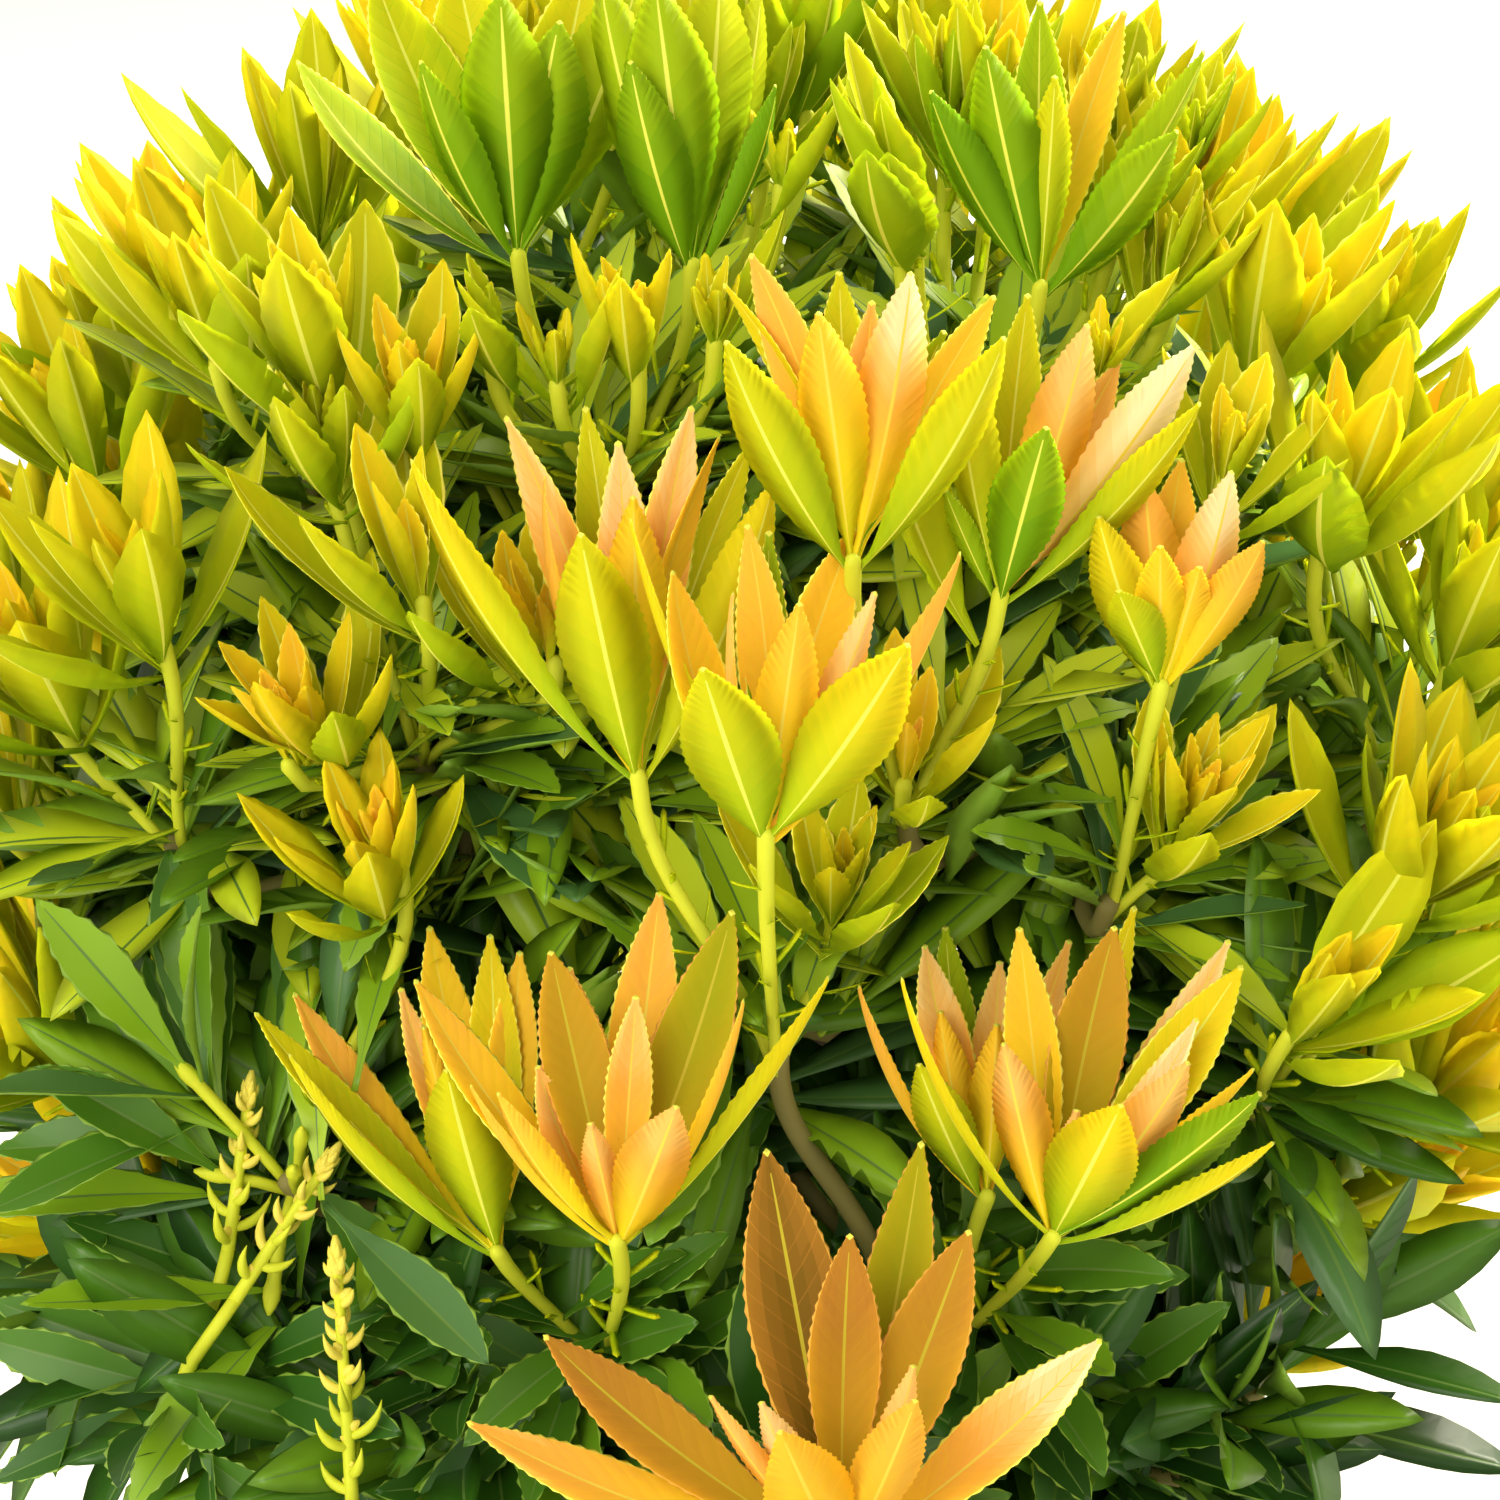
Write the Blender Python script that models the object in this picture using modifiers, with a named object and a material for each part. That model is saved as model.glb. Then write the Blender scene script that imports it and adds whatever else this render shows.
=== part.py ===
# A Japanese pieris in a plain clay pot, with a rounded crown of rosettes.
# Units are metres and +Z is up. The origin is the middle of the pot's flat underside.

import math
import random

import bmesh
import bpy
import numpy as np
from mathutils import Matrix, Vector

# Gap that every piece keeps to the next one
CLEARANCE = 0.0003
CUT_OVERRUN = 0.002
WELD = 0.00001

# Clay pot
POT_HEIGHT = 0.175
POT_BASE_RADIUS = 0.078
POT_TOP_RADIUS = 0.105
POT_WALL = 0.0065
POT_FLOOR = 0.009
BAND_HEIGHT = 0.034
BAND_DEPTH = 0.0045
BAND_TAPER = 0.001
POT_LIP = 0.0022
POT_STEPS = 36
DRAIN_COUNT = 5
DRAIN_RADIUS = 0.0055
DRAIN_RING_RADIUS = 0.045
DRAIN_SIDES = 16

# Compost
COMPOST_LEVEL = 0.153
COMPOST_CROWN = 0.003
COMPOST_BEVEL = 0.003

# Short stem inside the crown
TRUNK_FOOT_RADIUS = 0.0125
TRUNK_FLARE = 0.008
TRUNK_FLARE_SHARE = 0.055
TRUNK_SWAY = 0.004
TRUNK_SWAY_TURN = math.radians(288.0)
TRUNK_TIP_RADIUS = 0.0048
TRUNK_TOP = 0.325
TRUNK_LEAN = (0.010, 0.006)
TRUNK_POINTS = 12
TRUNK_UPRIGHT_POINTS = 2
TRUNK_SIDES_LEVEL = 3
BOUGH_SIDES_LEVEL = 1
LIMB_TAPER = 0.8

# Boughs, one to each mass of foliage round the stem
BOUGH_BASE_RADIUS = 0.0044
BOUGH_TIP_RADIUS = 0.0026
BOUGH_POINTS = 6
BOUGH_REACH = 0.50
BOUGH_BEND = (0.55, 0.30)
FORK_REACH = 0.72
TOP_FORK_REACH = 0.45
BOUGH_LOWEST = 0.186
BOUGH_HIGHEST = 0.302

# Crown: the dome that the young shoots end on, round its own middle
CROWN_MIDDLE = 0.300
HEART_HEIGHT = 0.275
CROWN_RADIUS = 0.172
CROWN_RISE = 0.165
CROWN_DROP = 0.150
HEM_HEIGHT = 0.216
CLUSTER_COUNT = 33
CLUSTER_SPACING = 0.048
MASS_RINGS = (("top", 1, 90.0, 0.0), ("upper", 4, 38.0, 45.0), ("lower", 7, -12.0, 12.0))

# Young shoots: each cluster grows from one old whorl
SHOOT_LENGTH = 0.040
SHOOT_SPREAD = 0.028
SHOOT_TIP = 0.009
ROSETTE_DEPTH = (0.014, 0.0015)
WHORL_DEPTH = (0.007, 0.001)
STEM_RADIUS = 0.0030
FORK_RADIUS = 0.0040
COLLAR = 0.009
TWIG_RADIUS = 0.0018
WHORL_RADIUS = 0.0034
SHOOT_RADIUS = 0.0014
SHOOT_TOP_RADIUS = 0.0018
TWIG_OVERLAP = 0.0004
TWIG_SIDES = 3
NODE_DEPTH = 0.0020
NODE_OFFSET = 0.0014
NO_CLUSTER = -1

# Room that a leaf keeps to other clusters, to the limbs and to the pot
SAMPLE_STEP = 0.005
SPACE_MARGIN = 0.0010
LIMB_MARGIN = 0.0022
POT_MARGIN = 0.004
TOP_TILT = 12.0
HEM_TILT = 45.0

# Leaves
LEAF_THICKNESS = 0.0024
LEAF_WIDEST = 0.55
GOLDEN_ANGLE = math.radians(137.508)
YOUNG_LEAVES = 5
YOUNG_LENGTH = (0.064, 0.046)
YOUNG_WIDTH = 0.44
YOUNG_ANGLE = (60.0, 22.0)
OLD_LEAVES = 4
OLD_LENGTH = 0.066
OLD_WIDTH = 0.32
OLD_ANGLE = (92.0, 62.0)
OLD_SEED = 1000
ANGLE_CHANCE = 4.0
LENGTH_CHANCE = (0.90, 1.08)
TURN_UP = 7.0
SHORTENING = 0.08
TURNS = 6

# Places on a leaf of length 1 that are tested when it is fitted in
LEAF_MARKS = (
    (0.0, 0.0, 1.0), (0.0, 0.0, 0.8), (0.28, 0.0, 0.78), (-0.28, 0.0, 0.78),
    (0.5, 0.5, LEAF_WIDEST), (-0.5, 0.5, LEAF_WIDEST), (0.0, -0.5, LEAF_WIDEST),
    (0.3, 0.0, 0.3), (-0.3, 0.0, 0.3), (0.0, 0.0, 0.3),
)

# Flower spikes in bud
SPIKE_LENGTH = 0.060
SPIKE_RADIUS = 0.0030
SPIKE_TIP_RADIUS = 0.0010

# Clusters seen from the front, as the places where their rosettes start
SEEN_CLUSTERS = (
    ((0.003, -0.155, 0.371), (-0.022, -0.131, 0.372)),
    ((0.020, -0.122, 0.414), (0.050, -0.105, 0.400)),
    ((-0.026, -0.170, 0.290), (-0.051, -0.145, 0.272)),
    ((0.060, -0.160, 0.285), (0.048, -0.140, 0.282)),
    ((0.018, -0.200, 0.237),),
    ((0.060, -0.051, 0.446), (0.031, -0.047, 0.456)),
    ((0.082, -0.112, 0.383),),
    ((-0.048, -0.048, 0.452), (-0.012, -0.051, 0.451)),
    ((-0.086, -0.069, 0.426), (-0.065, -0.099, 0.390)),
)
SEEN_SPIKES = ((-0.088, -0.112, 0.216), (-0.101, -0.133, 0.262))


def clear_scene():
    for thing in list(bpy.data.objects):
        bpy.data.objects.remove(thing, do_unlink=True)


def new_collection(name):
    collection = bpy.data.collections.new(name)
    bpy.context.scene.collection.children.link(collection)
    return collection


def new_material(name, colour, roughness):
    material = bpy.data.materials.new(name)
    material.use_nodes = True
    shader = material.node_tree.nodes["Principled BSDF"]
    shader.inputs["Base Color"].default_value = (*colour, 1.0)
    shader.inputs["Roughness"].default_value = roughness
    shader.inputs["Metallic"].default_value = 0.0
    return material


def new_object(name, mesh, collection, material=None):
    thing = bpy.data.objects.new(name, mesh)
    collection.objects.link(thing)
    if material:
        mesh.materials.append(material)
    return thing


def hide_cutter(cutter):
    cutter.hide_render = True
    cutter.display_type = "WIRE"


# Pot and compost, both turned

def pot_outer_radius(height):
    return POT_BASE_RADIUS + (POT_TOP_RADIUS - BAND_DEPTH - POT_BASE_RADIUS) * height / POT_HEIGHT


def turned_piece(name, profile, collection, material):
    mesh = bpy.data.meshes.new(name)
    points = [(radius, 0.0, height) for radius, height in profile]
    mesh.from_pydata(points, [(i, i + 1) for i in range(len(points) - 1)], [])
    thing = new_object(name, mesh, collection, material)
    screw = thing.modifiers.new("Turn", "SCREW")
    screw.steps = POT_STEPS
    screw.render_steps = POT_STEPS
    screw.use_merge_vertices = True
    screw.merge_threshold = WELD
    return thing


def pot_profile():
    band_foot = POT_HEIGHT - BAND_HEIGHT
    inner_top = pot_outer_radius(POT_HEIGHT) - POT_WALL
    inner_foot = pot_outer_radius(POT_FLOOR) - POT_WALL
    band_side = POT_TOP_RADIUS - BAND_TAPER
    return [
        (0.0, POT_FLOOR),
        (inner_foot - POT_LIP, POT_FLOOR),
        (inner_foot, POT_FLOOR + POT_LIP),
        (inner_top, POT_HEIGHT - POT_LIP),
        (inner_top + POT_LIP, POT_HEIGHT),
        (POT_TOP_RADIUS - POT_LIP, POT_HEIGHT),
        (POT_TOP_RADIUS, POT_HEIGHT - POT_LIP),
        (band_side, band_foot + POT_LIP),
        (band_side - POT_LIP, band_foot),
        (pot_outer_radius(band_foot), band_foot - BAND_TAPER),
        (POT_BASE_RADIUS, POT_LIP),
        (POT_BASE_RADIUS - POT_LIP, 0.0),
        (0.0, 0.0),
    ]


def make_pot(collection, cutters, material):
    pot = turned_piece("pot", pot_profile(), collection, material)
    for i in range(DRAIN_COUNT):
        angle = 2.0 * math.pi * i / DRAIN_COUNT
        place = (DRAIN_RING_RADIUS * math.cos(angle), DRAIN_RING_RADIUS * math.sin(angle), POT_FLOOR / 2)
        bpy.ops.mesh.primitive_cylinder_add(
            vertices=DRAIN_SIDES, radius=DRAIN_RADIUS, depth=3 * POT_FLOOR, location=place)
        drill = bpy.context.object
        drill.name = f"drill_{i + 1}"
        drill.users_collection[0].objects.unlink(drill)
        cutters.objects.link(drill)
        hide_cutter(drill)
        hole = pot.modifiers.new(f"Drain {i + 1}", "BOOLEAN")
        hole.operation = "DIFFERENCE"
        hole.object = drill


def make_compost(collection, material):
    wall = pot_outer_radius(COMPOST_LEVEL) - POT_WALL - 2 * CLEARANCE
    wall_foot = pot_outer_radius(POT_FLOOR + COMPOST_BEVEL) - POT_WALL - 2 * CLEARANCE
    profile = [
        (0.0, COMPOST_LEVEL),
        (wall / 3, COMPOST_LEVEL),
        (wall * 2 / 3, COMPOST_LEVEL - COMPOST_CROWN / 3),
        (wall, COMPOST_LEVEL - COMPOST_CROWN),
        (wall_foot, POT_FLOOR + COMPOST_BEVEL),
        (wall_foot - COMPOST_BEVEL, POT_FLOOR + CLEARANCE),
        (0.0, POT_FLOOR + CLEARANCE),
    ]
    turned_piece("compost", profile, collection, material)


# Stem and boughs

def curve_point(start, bend, end, t):
    return start * (1 - t) ** 2 + bend * (2 * t * (1 - t)) + end * t ** 2


def tube_mesh(name, points, radii, sides_level):
    """A tapering limb, swept as a curve and welded into one closed mesh."""
    curve = bpy.data.curves.new(name, "CURVE")
    curve.dimensions = "3D"
    curve.bevel_depth = 1.0
    curve.bevel_resolution = sides_level
    curve.use_fill_caps = True
    spline = curve.splines.new("POLY")
    spline.points.add(len(points) - 1)
    for knot, point, radius in zip(spline.points, points, radii):
        knot.co = (*point, 1.0)
        knot.radius = radius
    swept = bpy.data.objects.new(name, curve)
    bpy.context.scene.collection.objects.link(swept)
    bpy.context.view_layer.update()
    mesh = bpy.data.meshes.new_from_object(swept.evaluated_get(bpy.context.evaluated_depsgraph_get()))
    bpy.data.objects.remove(swept, do_unlink=True)
    bm = bmesh.new()
    bm.from_mesh(mesh)
    bmesh.ops.remove_doubles(bm, verts=bm.verts, dist=WELD)
    bmesh.ops.recalc_face_normals(bm, faces=bm.faces)
    bm.to_mesh(mesh)
    bm.free()
    mesh.name = name
    return mesh


def trunk_line():
    """Points up the leaning stem, each with its radius."""
    foot = COMPOST_LEVEL + CLEARANCE
    rise = TRUNK_TOP - foot
    points, radii = [], []
    for i in range(TRUNK_POINTS):
        t = i / (TRUNK_POINTS - 1)
        sway = math.sin(t * TRUNK_SWAY_TURN) * TRUNK_SWAY
        lean = 0.0 if i < TRUNK_UPRIGHT_POINTS else t
        across = (TRUNK_LEAN[0] + sway) * lean
        away = (TRUNK_LEAN[1] - sway) * lean
        points.append(Vector((across, away, foot + rise * t)))
        flare = TRUNK_FLARE * math.exp(-t / TRUNK_FLARE_SHARE)
        radii.append(TRUNK_FOOT_RADIUS + (TRUNK_TIP_RADIUS - TRUNK_FOOT_RADIUS) * t ** LIMB_TAPER + flare)
    return points, radii


def trunk_at(height):
    points, radii = trunk_line()
    for i in range(len(points) - 1):
        if points[i + 1].z >= height:
            t = (height - points[i].z) / (points[i + 1].z - points[i].z)
            return points[i].lerp(points[i + 1], t)
    return points[-1]


def make_trunk(collection, material):
    points, radii = trunk_line()
    trunk = new_object("trunk", tube_mesh("trunk", points, radii, TRUNK_SIDES_LEVEL), collection, material)
    trunk.data.shade_smooth()


def make_trunk_cutter(cutters):
    """The stem grown by the clearance, which the boughs' roots are cut with."""
    points, radii = trunk_line()
    grown = [radius + 2 * CLEARANCE for radius in radii]
    points[0] -= Vector((0, 0, CUT_OVERRUN))
    points[-1] += Vector((0, 0, CUT_OVERRUN))
    cutter = new_object("trunk_cutter", tube_mesh("trunk_cutter", points, grown, TRUNK_SIDES_LEVEL), cutters)
    hide_cutter(cutter)
    return cutter


def bough_line(tip, root_height):
    root = trunk_at(root_height)
    bend = root.lerp(tip, BOUGH_BEND[0])
    bend.z = root.z + BOUGH_BEND[1] * (tip.z - root.z)
    points, radii = [], []
    for i in range(BOUGH_POINTS):
        t = i / (BOUGH_POINTS - 1)
        points.append(curve_point(root, bend, tip, t))
        radii.append(BOUGH_BASE_RADIUS + (BOUGH_TIP_RADIUS - BOUGH_BASE_RADIUS) * t ** LIMB_TAPER)
    return points, radii


def keep_largest_body(mesh):
    """Drops the walls of sealed hollows and any loose scrap."""
    bm = bmesh.new()
    bm.from_mesh(mesh)
    left = set(bm.faces)
    bodies = []
    while left:
        body, edge = set(), [left.pop()]
        while edge:
            face = edge.pop()
            body.add(face)
            for neighbour in (other for side in face.edges for other in side.link_faces):
                if neighbour in left:
                    left.discard(neighbour)
                    edge.append(neighbour)
        bodies.append(body)
    bodies.sort(key=len)
    scrap = [face for body in bodies[:-1] for face in body]
    bmesh.ops.delete(bm, geom=scrap, context="FACES")
    bmesh.ops.delete(bm, geom=[vert for vert in bm.verts if not vert.link_faces], context="VERTS")
    bm.to_mesh(mesh)
    bm.free()


def apply_modifiers(thing):
    bpy.context.view_layer.update()
    shaped = bpy.data.meshes.new_from_object(thing.evaluated_get(bpy.context.evaluated_depsgraph_get()))
    thing.modifiers.clear()
    thing.data = shaped
    keep_largest_body(shaped)


def make_bough(name, line, cutter, collection, material):
    points, radii = line
    bough = new_object(name, tube_mesh(name, points, radii, BOUGH_SIDES_LEVEL), collection, material)
    cut = bough.modifiers.new("Root cut", "BOOLEAN")
    cut.operation = "DIFFERENCE"
    cut.object = cutter
    apply_modifiers(bough)
    bough.data.shade_smooth()


# Where the shoots stand

def crown_point(direction):
    rise = CROWN_RISE if direction.z > 0 else CROWN_DROP
    return Vector((CROWN_RADIUS * direction.x, CROWN_RADIUS * direction.y, CROWN_MIDDLE + rise * direction.z))


def crown_direction(point):
    rise = CROWN_RISE if point.z > CROWN_MIDDLE else CROWN_DROP
    height = (point.z - CROWN_MIDDLE) / rise
    return Vector((point.x / CROWN_RADIUS, point.y / CROWN_RADIUS, height)).normalized()


def shoot_axis(base):
    """Upright on top of the crown, leaning out more and more towards its hem."""
    outward = Vector((base.x, base.y, 0.0)) / CROWN_RADIUS
    height = (base.z - HEM_HEIGHT) / (CROWN_MIDDLE + CROWN_RISE - HEM_HEIGHT)
    height = min(max(height, 0.0), 1.0)
    tilt = math.radians(min(outward.length, 1.0) * (TOP_TILT + HEM_TILT * (1.0 - height) ** 2))
    return (outward.normalized() * math.sin(tilt) + Vector((0, 0, math.cos(tilt)))).normalized()


def make_cluster(bases):
    axis = sum((shoot_axis(base) for base in bases), Vector()).normalized()
    middle = sum(bases, Vector()) / len(bases)
    return {"bases": bases, "axis": axis, "whorl": middle - axis * SHOOT_LENGTH}


def spiral_clusters(seen_bases):
    """Fills the rest of the dome with clusters of two or three shoots, on a golden spiral."""
    lowest = (HEM_HEIGHT - CROWN_MIDDLE) / CROWN_DROP
    clusters = []
    for i in range(CLUSTER_COUNT):
        level = 1.0 - (i + 0.5) / CLUSTER_COUNT * (1.0 - lowest)
        angle = GOLDEN_ANGLE * i
        flat = math.sqrt(1.0 - level * level)
        direction = Vector((flat * math.cos(angle), flat * math.sin(angle), level))
        middle = crown_point(direction)
        if min((middle - base).length for base in seen_bases) < CLUSTER_SPACING:
            continue
        axis = shoot_axis(middle)
        side = axis.cross(Vector((math.sin(angle), -math.cos(angle), 0.2))).normalized()
        count = 2 + i % 2
        bases = []
        for j in range(count):
            turn = Matrix.Rotation(2.0 * math.pi * j / count + i, 3, axis)
            base = middle + turn @ side * SHOOT_SPREAD
            bases.append(crown_point(crown_direction(base)))
        clusters.append(make_cluster(bases))
    return clusters


def mass_directions():
    masses = []
    for ring, count, rise, turn in MASS_RINGS:
        for i in range(count):
            angle = math.radians(turn + 360.0 * i / count - 90.0)
            level = math.radians(rise)
            flat = math.cos(level)
            direction = Vector((flat * math.cos(angle), flat * math.sin(angle), math.sin(level)))
            name = ring if count == 1 else f"{ring}_{i + 1}"
            masses.append({"name": name, "direction": direction, "clusters": [], "spikes": []})
    return masses


def tip_direction(points):
    return (points[-1] - points[-2]).normalized()


def lay_out_masses():
    seen = [make_cluster([Vector(base) for base in bases]) for bases in SEEN_CLUSTERS]
    seen_bases = [base for cluster in seen for base in cluster["bases"]]
    masses = mass_directions()
    shoots = 0
    for number, cluster in enumerate(seen + spiral_clusters(seen_bases)):
        cluster["number"] = number
        cluster["shoots"] = list(range(shoots, shoots + len(cluster["bases"])))
        shoots += len(cluster["bases"])
        towards = crown_direction(cluster["whorl"] + cluster["axis"] * SHOOT_LENGTH)
        nearest = max(masses, key=lambda mass: mass["direction"].dot(towards))
        nearest["clusters"].append(cluster)
    for spike in SEEN_SPIKES:
        nearest = max(masses, key=lambda mass: mass["direction"].dot(crown_direction(Vector(spike))))
        nearest["spikes"].append(Vector(spike))
    heart = Vector((*TRUNK_LEAN, HEART_HEIGHT))
    for mass in masses:
        middle = sum((cluster["whorl"] for cluster in mass["clusters"]), Vector()) / len(mass["clusters"])
        mass["tip"] = heart.lerp(middle, BOUGH_REACH)
        mass["fork"] = heart.lerp(middle, FORK_REACH)
        mass["middle"] = middle
    top = masses[0]
    top["limb"] = trunk_line()
    top["tip"] = top["limb"][0][-1]
    top["fork"] = top["tip"].lerp(top["middle"], TOP_FORK_REACH)
    round_stem = sorted(masses[1:], key=lambda mass: mass["tip"].z)
    for i, mass in enumerate(round_stem):
        share = i / (len(round_stem) - 1)
        mass["limb"] = bough_line(mass["tip"], BOUGH_LOWEST + (BOUGH_HIGHEST - BOUGH_LOWEST) * share)
    return masses


def side_root(node, axis, towards):
    """A place inside a swollen node, on the side that a twig leaves from."""
    sideways = towards - node
    sideways -= axis * sideways.dot(axis)
    return node - axis * NODE_DEPTH + sideways.normalized() * NODE_OFFSET


def mass_twigs(mass):
    """Every twig of a mass: its ends, the radius at each, and the cluster that it is part of."""
    points, radii = mass["limb"]
    along = tip_direction(points)
    collar = mass["tip"] + along * COLLAR
    twigs = [(mass["tip"] + along * (CLEARANCE + TWIG_OVERLAP), collar, radii[-1], STEM_RADIUS, NO_CLUSTER)]
    twigs.append((collar, mass["fork"], STEM_RADIUS, FORK_RADIUS, NO_CLUSTER))
    for cluster in mass["clusters"]:
        number = cluster["number"]
        root = side_root(mass["fork"], along, cluster["whorl"])
        twigs.append((root, cluster["whorl"], TWIG_RADIUS, WHORL_RADIUS, number))
        for base in cluster["bases"]:
            tip = base + shoot_axis(base) * SHOOT_TIP
            root = side_root(cluster["whorl"], cluster["axis"], base)
            twigs.append((root, tip, SHOOT_RADIUS, SHOOT_TOP_RADIUS, number))
    for spike in mass["spikes"]:
        whorls = [cluster["whorl"] for cluster in mass["clusters"]]
        whorl = min(whorls, key=lambda point: (point - spike).length)
        top = spike + Vector((0, 0, SPIKE_LENGTH))
        twigs.append((whorl, spike, SHOOT_RADIUS, SPIKE_TIP_RADIUS, NO_CLUSTER))
        twigs.append((spike - Vector((0, 0, NODE_DEPTH)), top, SPIKE_RADIUS, SPIKE_TIP_RADIUS, NO_CLUSTER))
    return twigs


def line_samples(start, end):
    count = max(2, int((end - start).length / SAMPLE_STEP))
    return [start.lerp(end, i / count) for i in range(count + 1)]


def twig_points(masses):
    """Points along every twig, each with its cluster's number. A leaf stays nearest to its own."""
    points, clusters = [], []
    for mass in masses:
        for start, end, _, _, cluster in mass_twigs(mass):
            line = line_samples(start, end)
            points += line
            clusters += [cluster] * len(line)
    return np.array(points), np.array(clusters)


# Leaves and twigs

def make_unit_leaf():
    """A leaf of length 1 along +Z: two edges, and a keel under its rib."""
    mesh = bpy.data.meshes.new("unit_leaf")
    bm = bmesh.new()
    bmesh.ops.create_uvsphere(bm, u_segments=3, v_segments=2, radius=1.0)
    bm.verts.ensure_lookup_table()
    root, left, keel, right, tip = sorted(bm.verts, key=lambda vert: (round(vert.co.z, 3), vert.co.x))
    root.co, tip.co = (0, 0, 0), (0, 0, 1)
    left.co, right.co = (-0.5, 0.5, LEAF_WIDEST), (0.5, 0.5, LEAF_WIDEST)
    keel.co = (0, -0.5, LEAF_WIDEST)
    bmesh.ops.recalc_face_normals(bm, faces=bm.faces)
    bm.to_mesh(mesh)
    bm.free()
    return mesh


def leaf_matrix(root, aim, facing, length, width):
    facing = (facing - aim * facing.dot(aim)).normalized()
    side = aim.cross(facing) * -1.0
    matrix = Matrix.Identity(4)
    for axis, column in enumerate((side * width, facing * LEAF_THICKNESS, aim * length)):
        matrix.col[axis][:3] = column
    matrix.col[3][:3] = root
    return matrix


def leaf_samples(matrix):
    return np.array([matrix @ Vector(mark) for mark in LEAF_MARKS])


def nearest_gap(samples, points):
    return np.sqrt(((samples[:, None, :] - points[None, :, :]) ** 2).sum(axis=2)).min(axis=1)


def clear_of_limbs(samples, limbs):
    for points, radii in limbs:
        gaps = np.sqrt(((samples[:, None, :] - points[None, :, :]) ** 2).sum(axis=2)) - radii[None, :]
        if gaps.min() < LIMB_MARGIN:
            return False
    over_pot = np.hypot(samples[:, 0], samples[:, 1]) < POT_TOP_RADIUS + POT_MARGIN
    return not (over_pot & (samples[:, 2] < POT_HEIGHT + POT_MARGIN)).any()


def keeps_to_space(samples, own, others):
    return (nearest_gap(samples, own) + SPACE_MARGIN < nearest_gap(samples, others)).all()


def fitted_leaf(root, axis, turn, angle, length, width, allowed):
    """Turns a leaf up towards its shoot until it stays in its mass's space."""
    across = axis.orthogonal().normalized()
    outward = Matrix.Rotation(turn, 3, axis) @ across
    for attempt in range(TURNS):
        lean = math.radians(angle - TURN_UP * attempt)
        reach = length * (1.0 - SHORTENING * attempt)
        aim = axis * math.cos(lean) + outward * math.sin(lean)
        facing = axis * math.sin(lean) - outward * math.cos(lean)
        matrix = leaf_matrix(root, aim, facing, reach, reach * width)
        if allowed(leaf_samples(matrix)):
            return matrix
    return None


def young_leaves(base, whorl, number, allowed):
    """One rosette, its leaves rooted down the last stretch of the shoot, outermost first."""
    axis = shoot_axis(base)
    tip = base + axis * SHOOT_TIP
    back = (whorl - tip).normalized()
    chance = random.Random(number)
    phase = chance.uniform(0, 2 * math.pi)
    for i in range(YOUNG_LEAVES):
        inward = i / (YOUNG_LEAVES - 1)
        length = YOUNG_LENGTH[0] + (YOUNG_LENGTH[1] - YOUNG_LENGTH[0]) * inward
        angle = YOUNG_ANGLE[0] + (YOUNG_ANGLE[1] - YOUNG_ANGLE[0]) * inward
        angle += chance.uniform(-ANGLE_CHANCE, ANGLE_CHANCE)
        length *= chance.uniform(*LENGTH_CHANCE)
        root = tip + back * (ROSETTE_DEPTH[0] + (ROSETTE_DEPTH[1] - ROSETTE_DEPTH[0]) * inward)
        yield fitted_leaf(root, axis, phase + GOLDEN_ANGLE * i, angle, length, YOUNG_WIDTH, allowed)


def old_leaves(cluster, fork, allowed):
    """Last year's leaves, rooted in the twig just under the whorl."""
    chance = random.Random(OLD_SEED + cluster["number"])
    back = (fork - cluster["whorl"]).normalized()
    phase = chance.uniform(0, 2 * math.pi)
    for i in range(OLD_LEAVES):
        share = i / (OLD_LEAVES - 1)
        angle = OLD_ANGLE[0] + (OLD_ANGLE[1] - OLD_ANGLE[0]) * share
        root = cluster["whorl"] + back * (WHORL_DEPTH[0] + (WHORL_DEPTH[1] - WHORL_DEPTH[0]) * share)
        length = OLD_LENGTH * chance.uniform(*LENGTH_CHANCE)
        yield fitted_leaf(root, cluster["axis"], phase + GOLDEN_ANGLE * i, angle, length, OLD_WIDTH, allowed)


def twig_mesh(start, end, start_radius, end_radius, sides=TWIG_SIDES):
    along = end - start
    bm = bmesh.new()
    bmesh.ops.create_cone(
        bm, cap_ends=True, cap_tris=False, segments=sides,
        radius1=start_radius, radius2=end_radius, depth=along.length + 2 * TWIG_OVERLAP,
    )
    turn = along.to_track_quat("Z", "Y").to_matrix().to_4x4()
    bmesh.ops.transform(bm, verts=bm.verts, matrix=Matrix.Translation(start.lerp(end, 0.5)) @ turn)
    mesh = bpy.data.meshes.new("twig")
    bm.to_mesh(mesh)
    bm.free()
    return mesh


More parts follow.
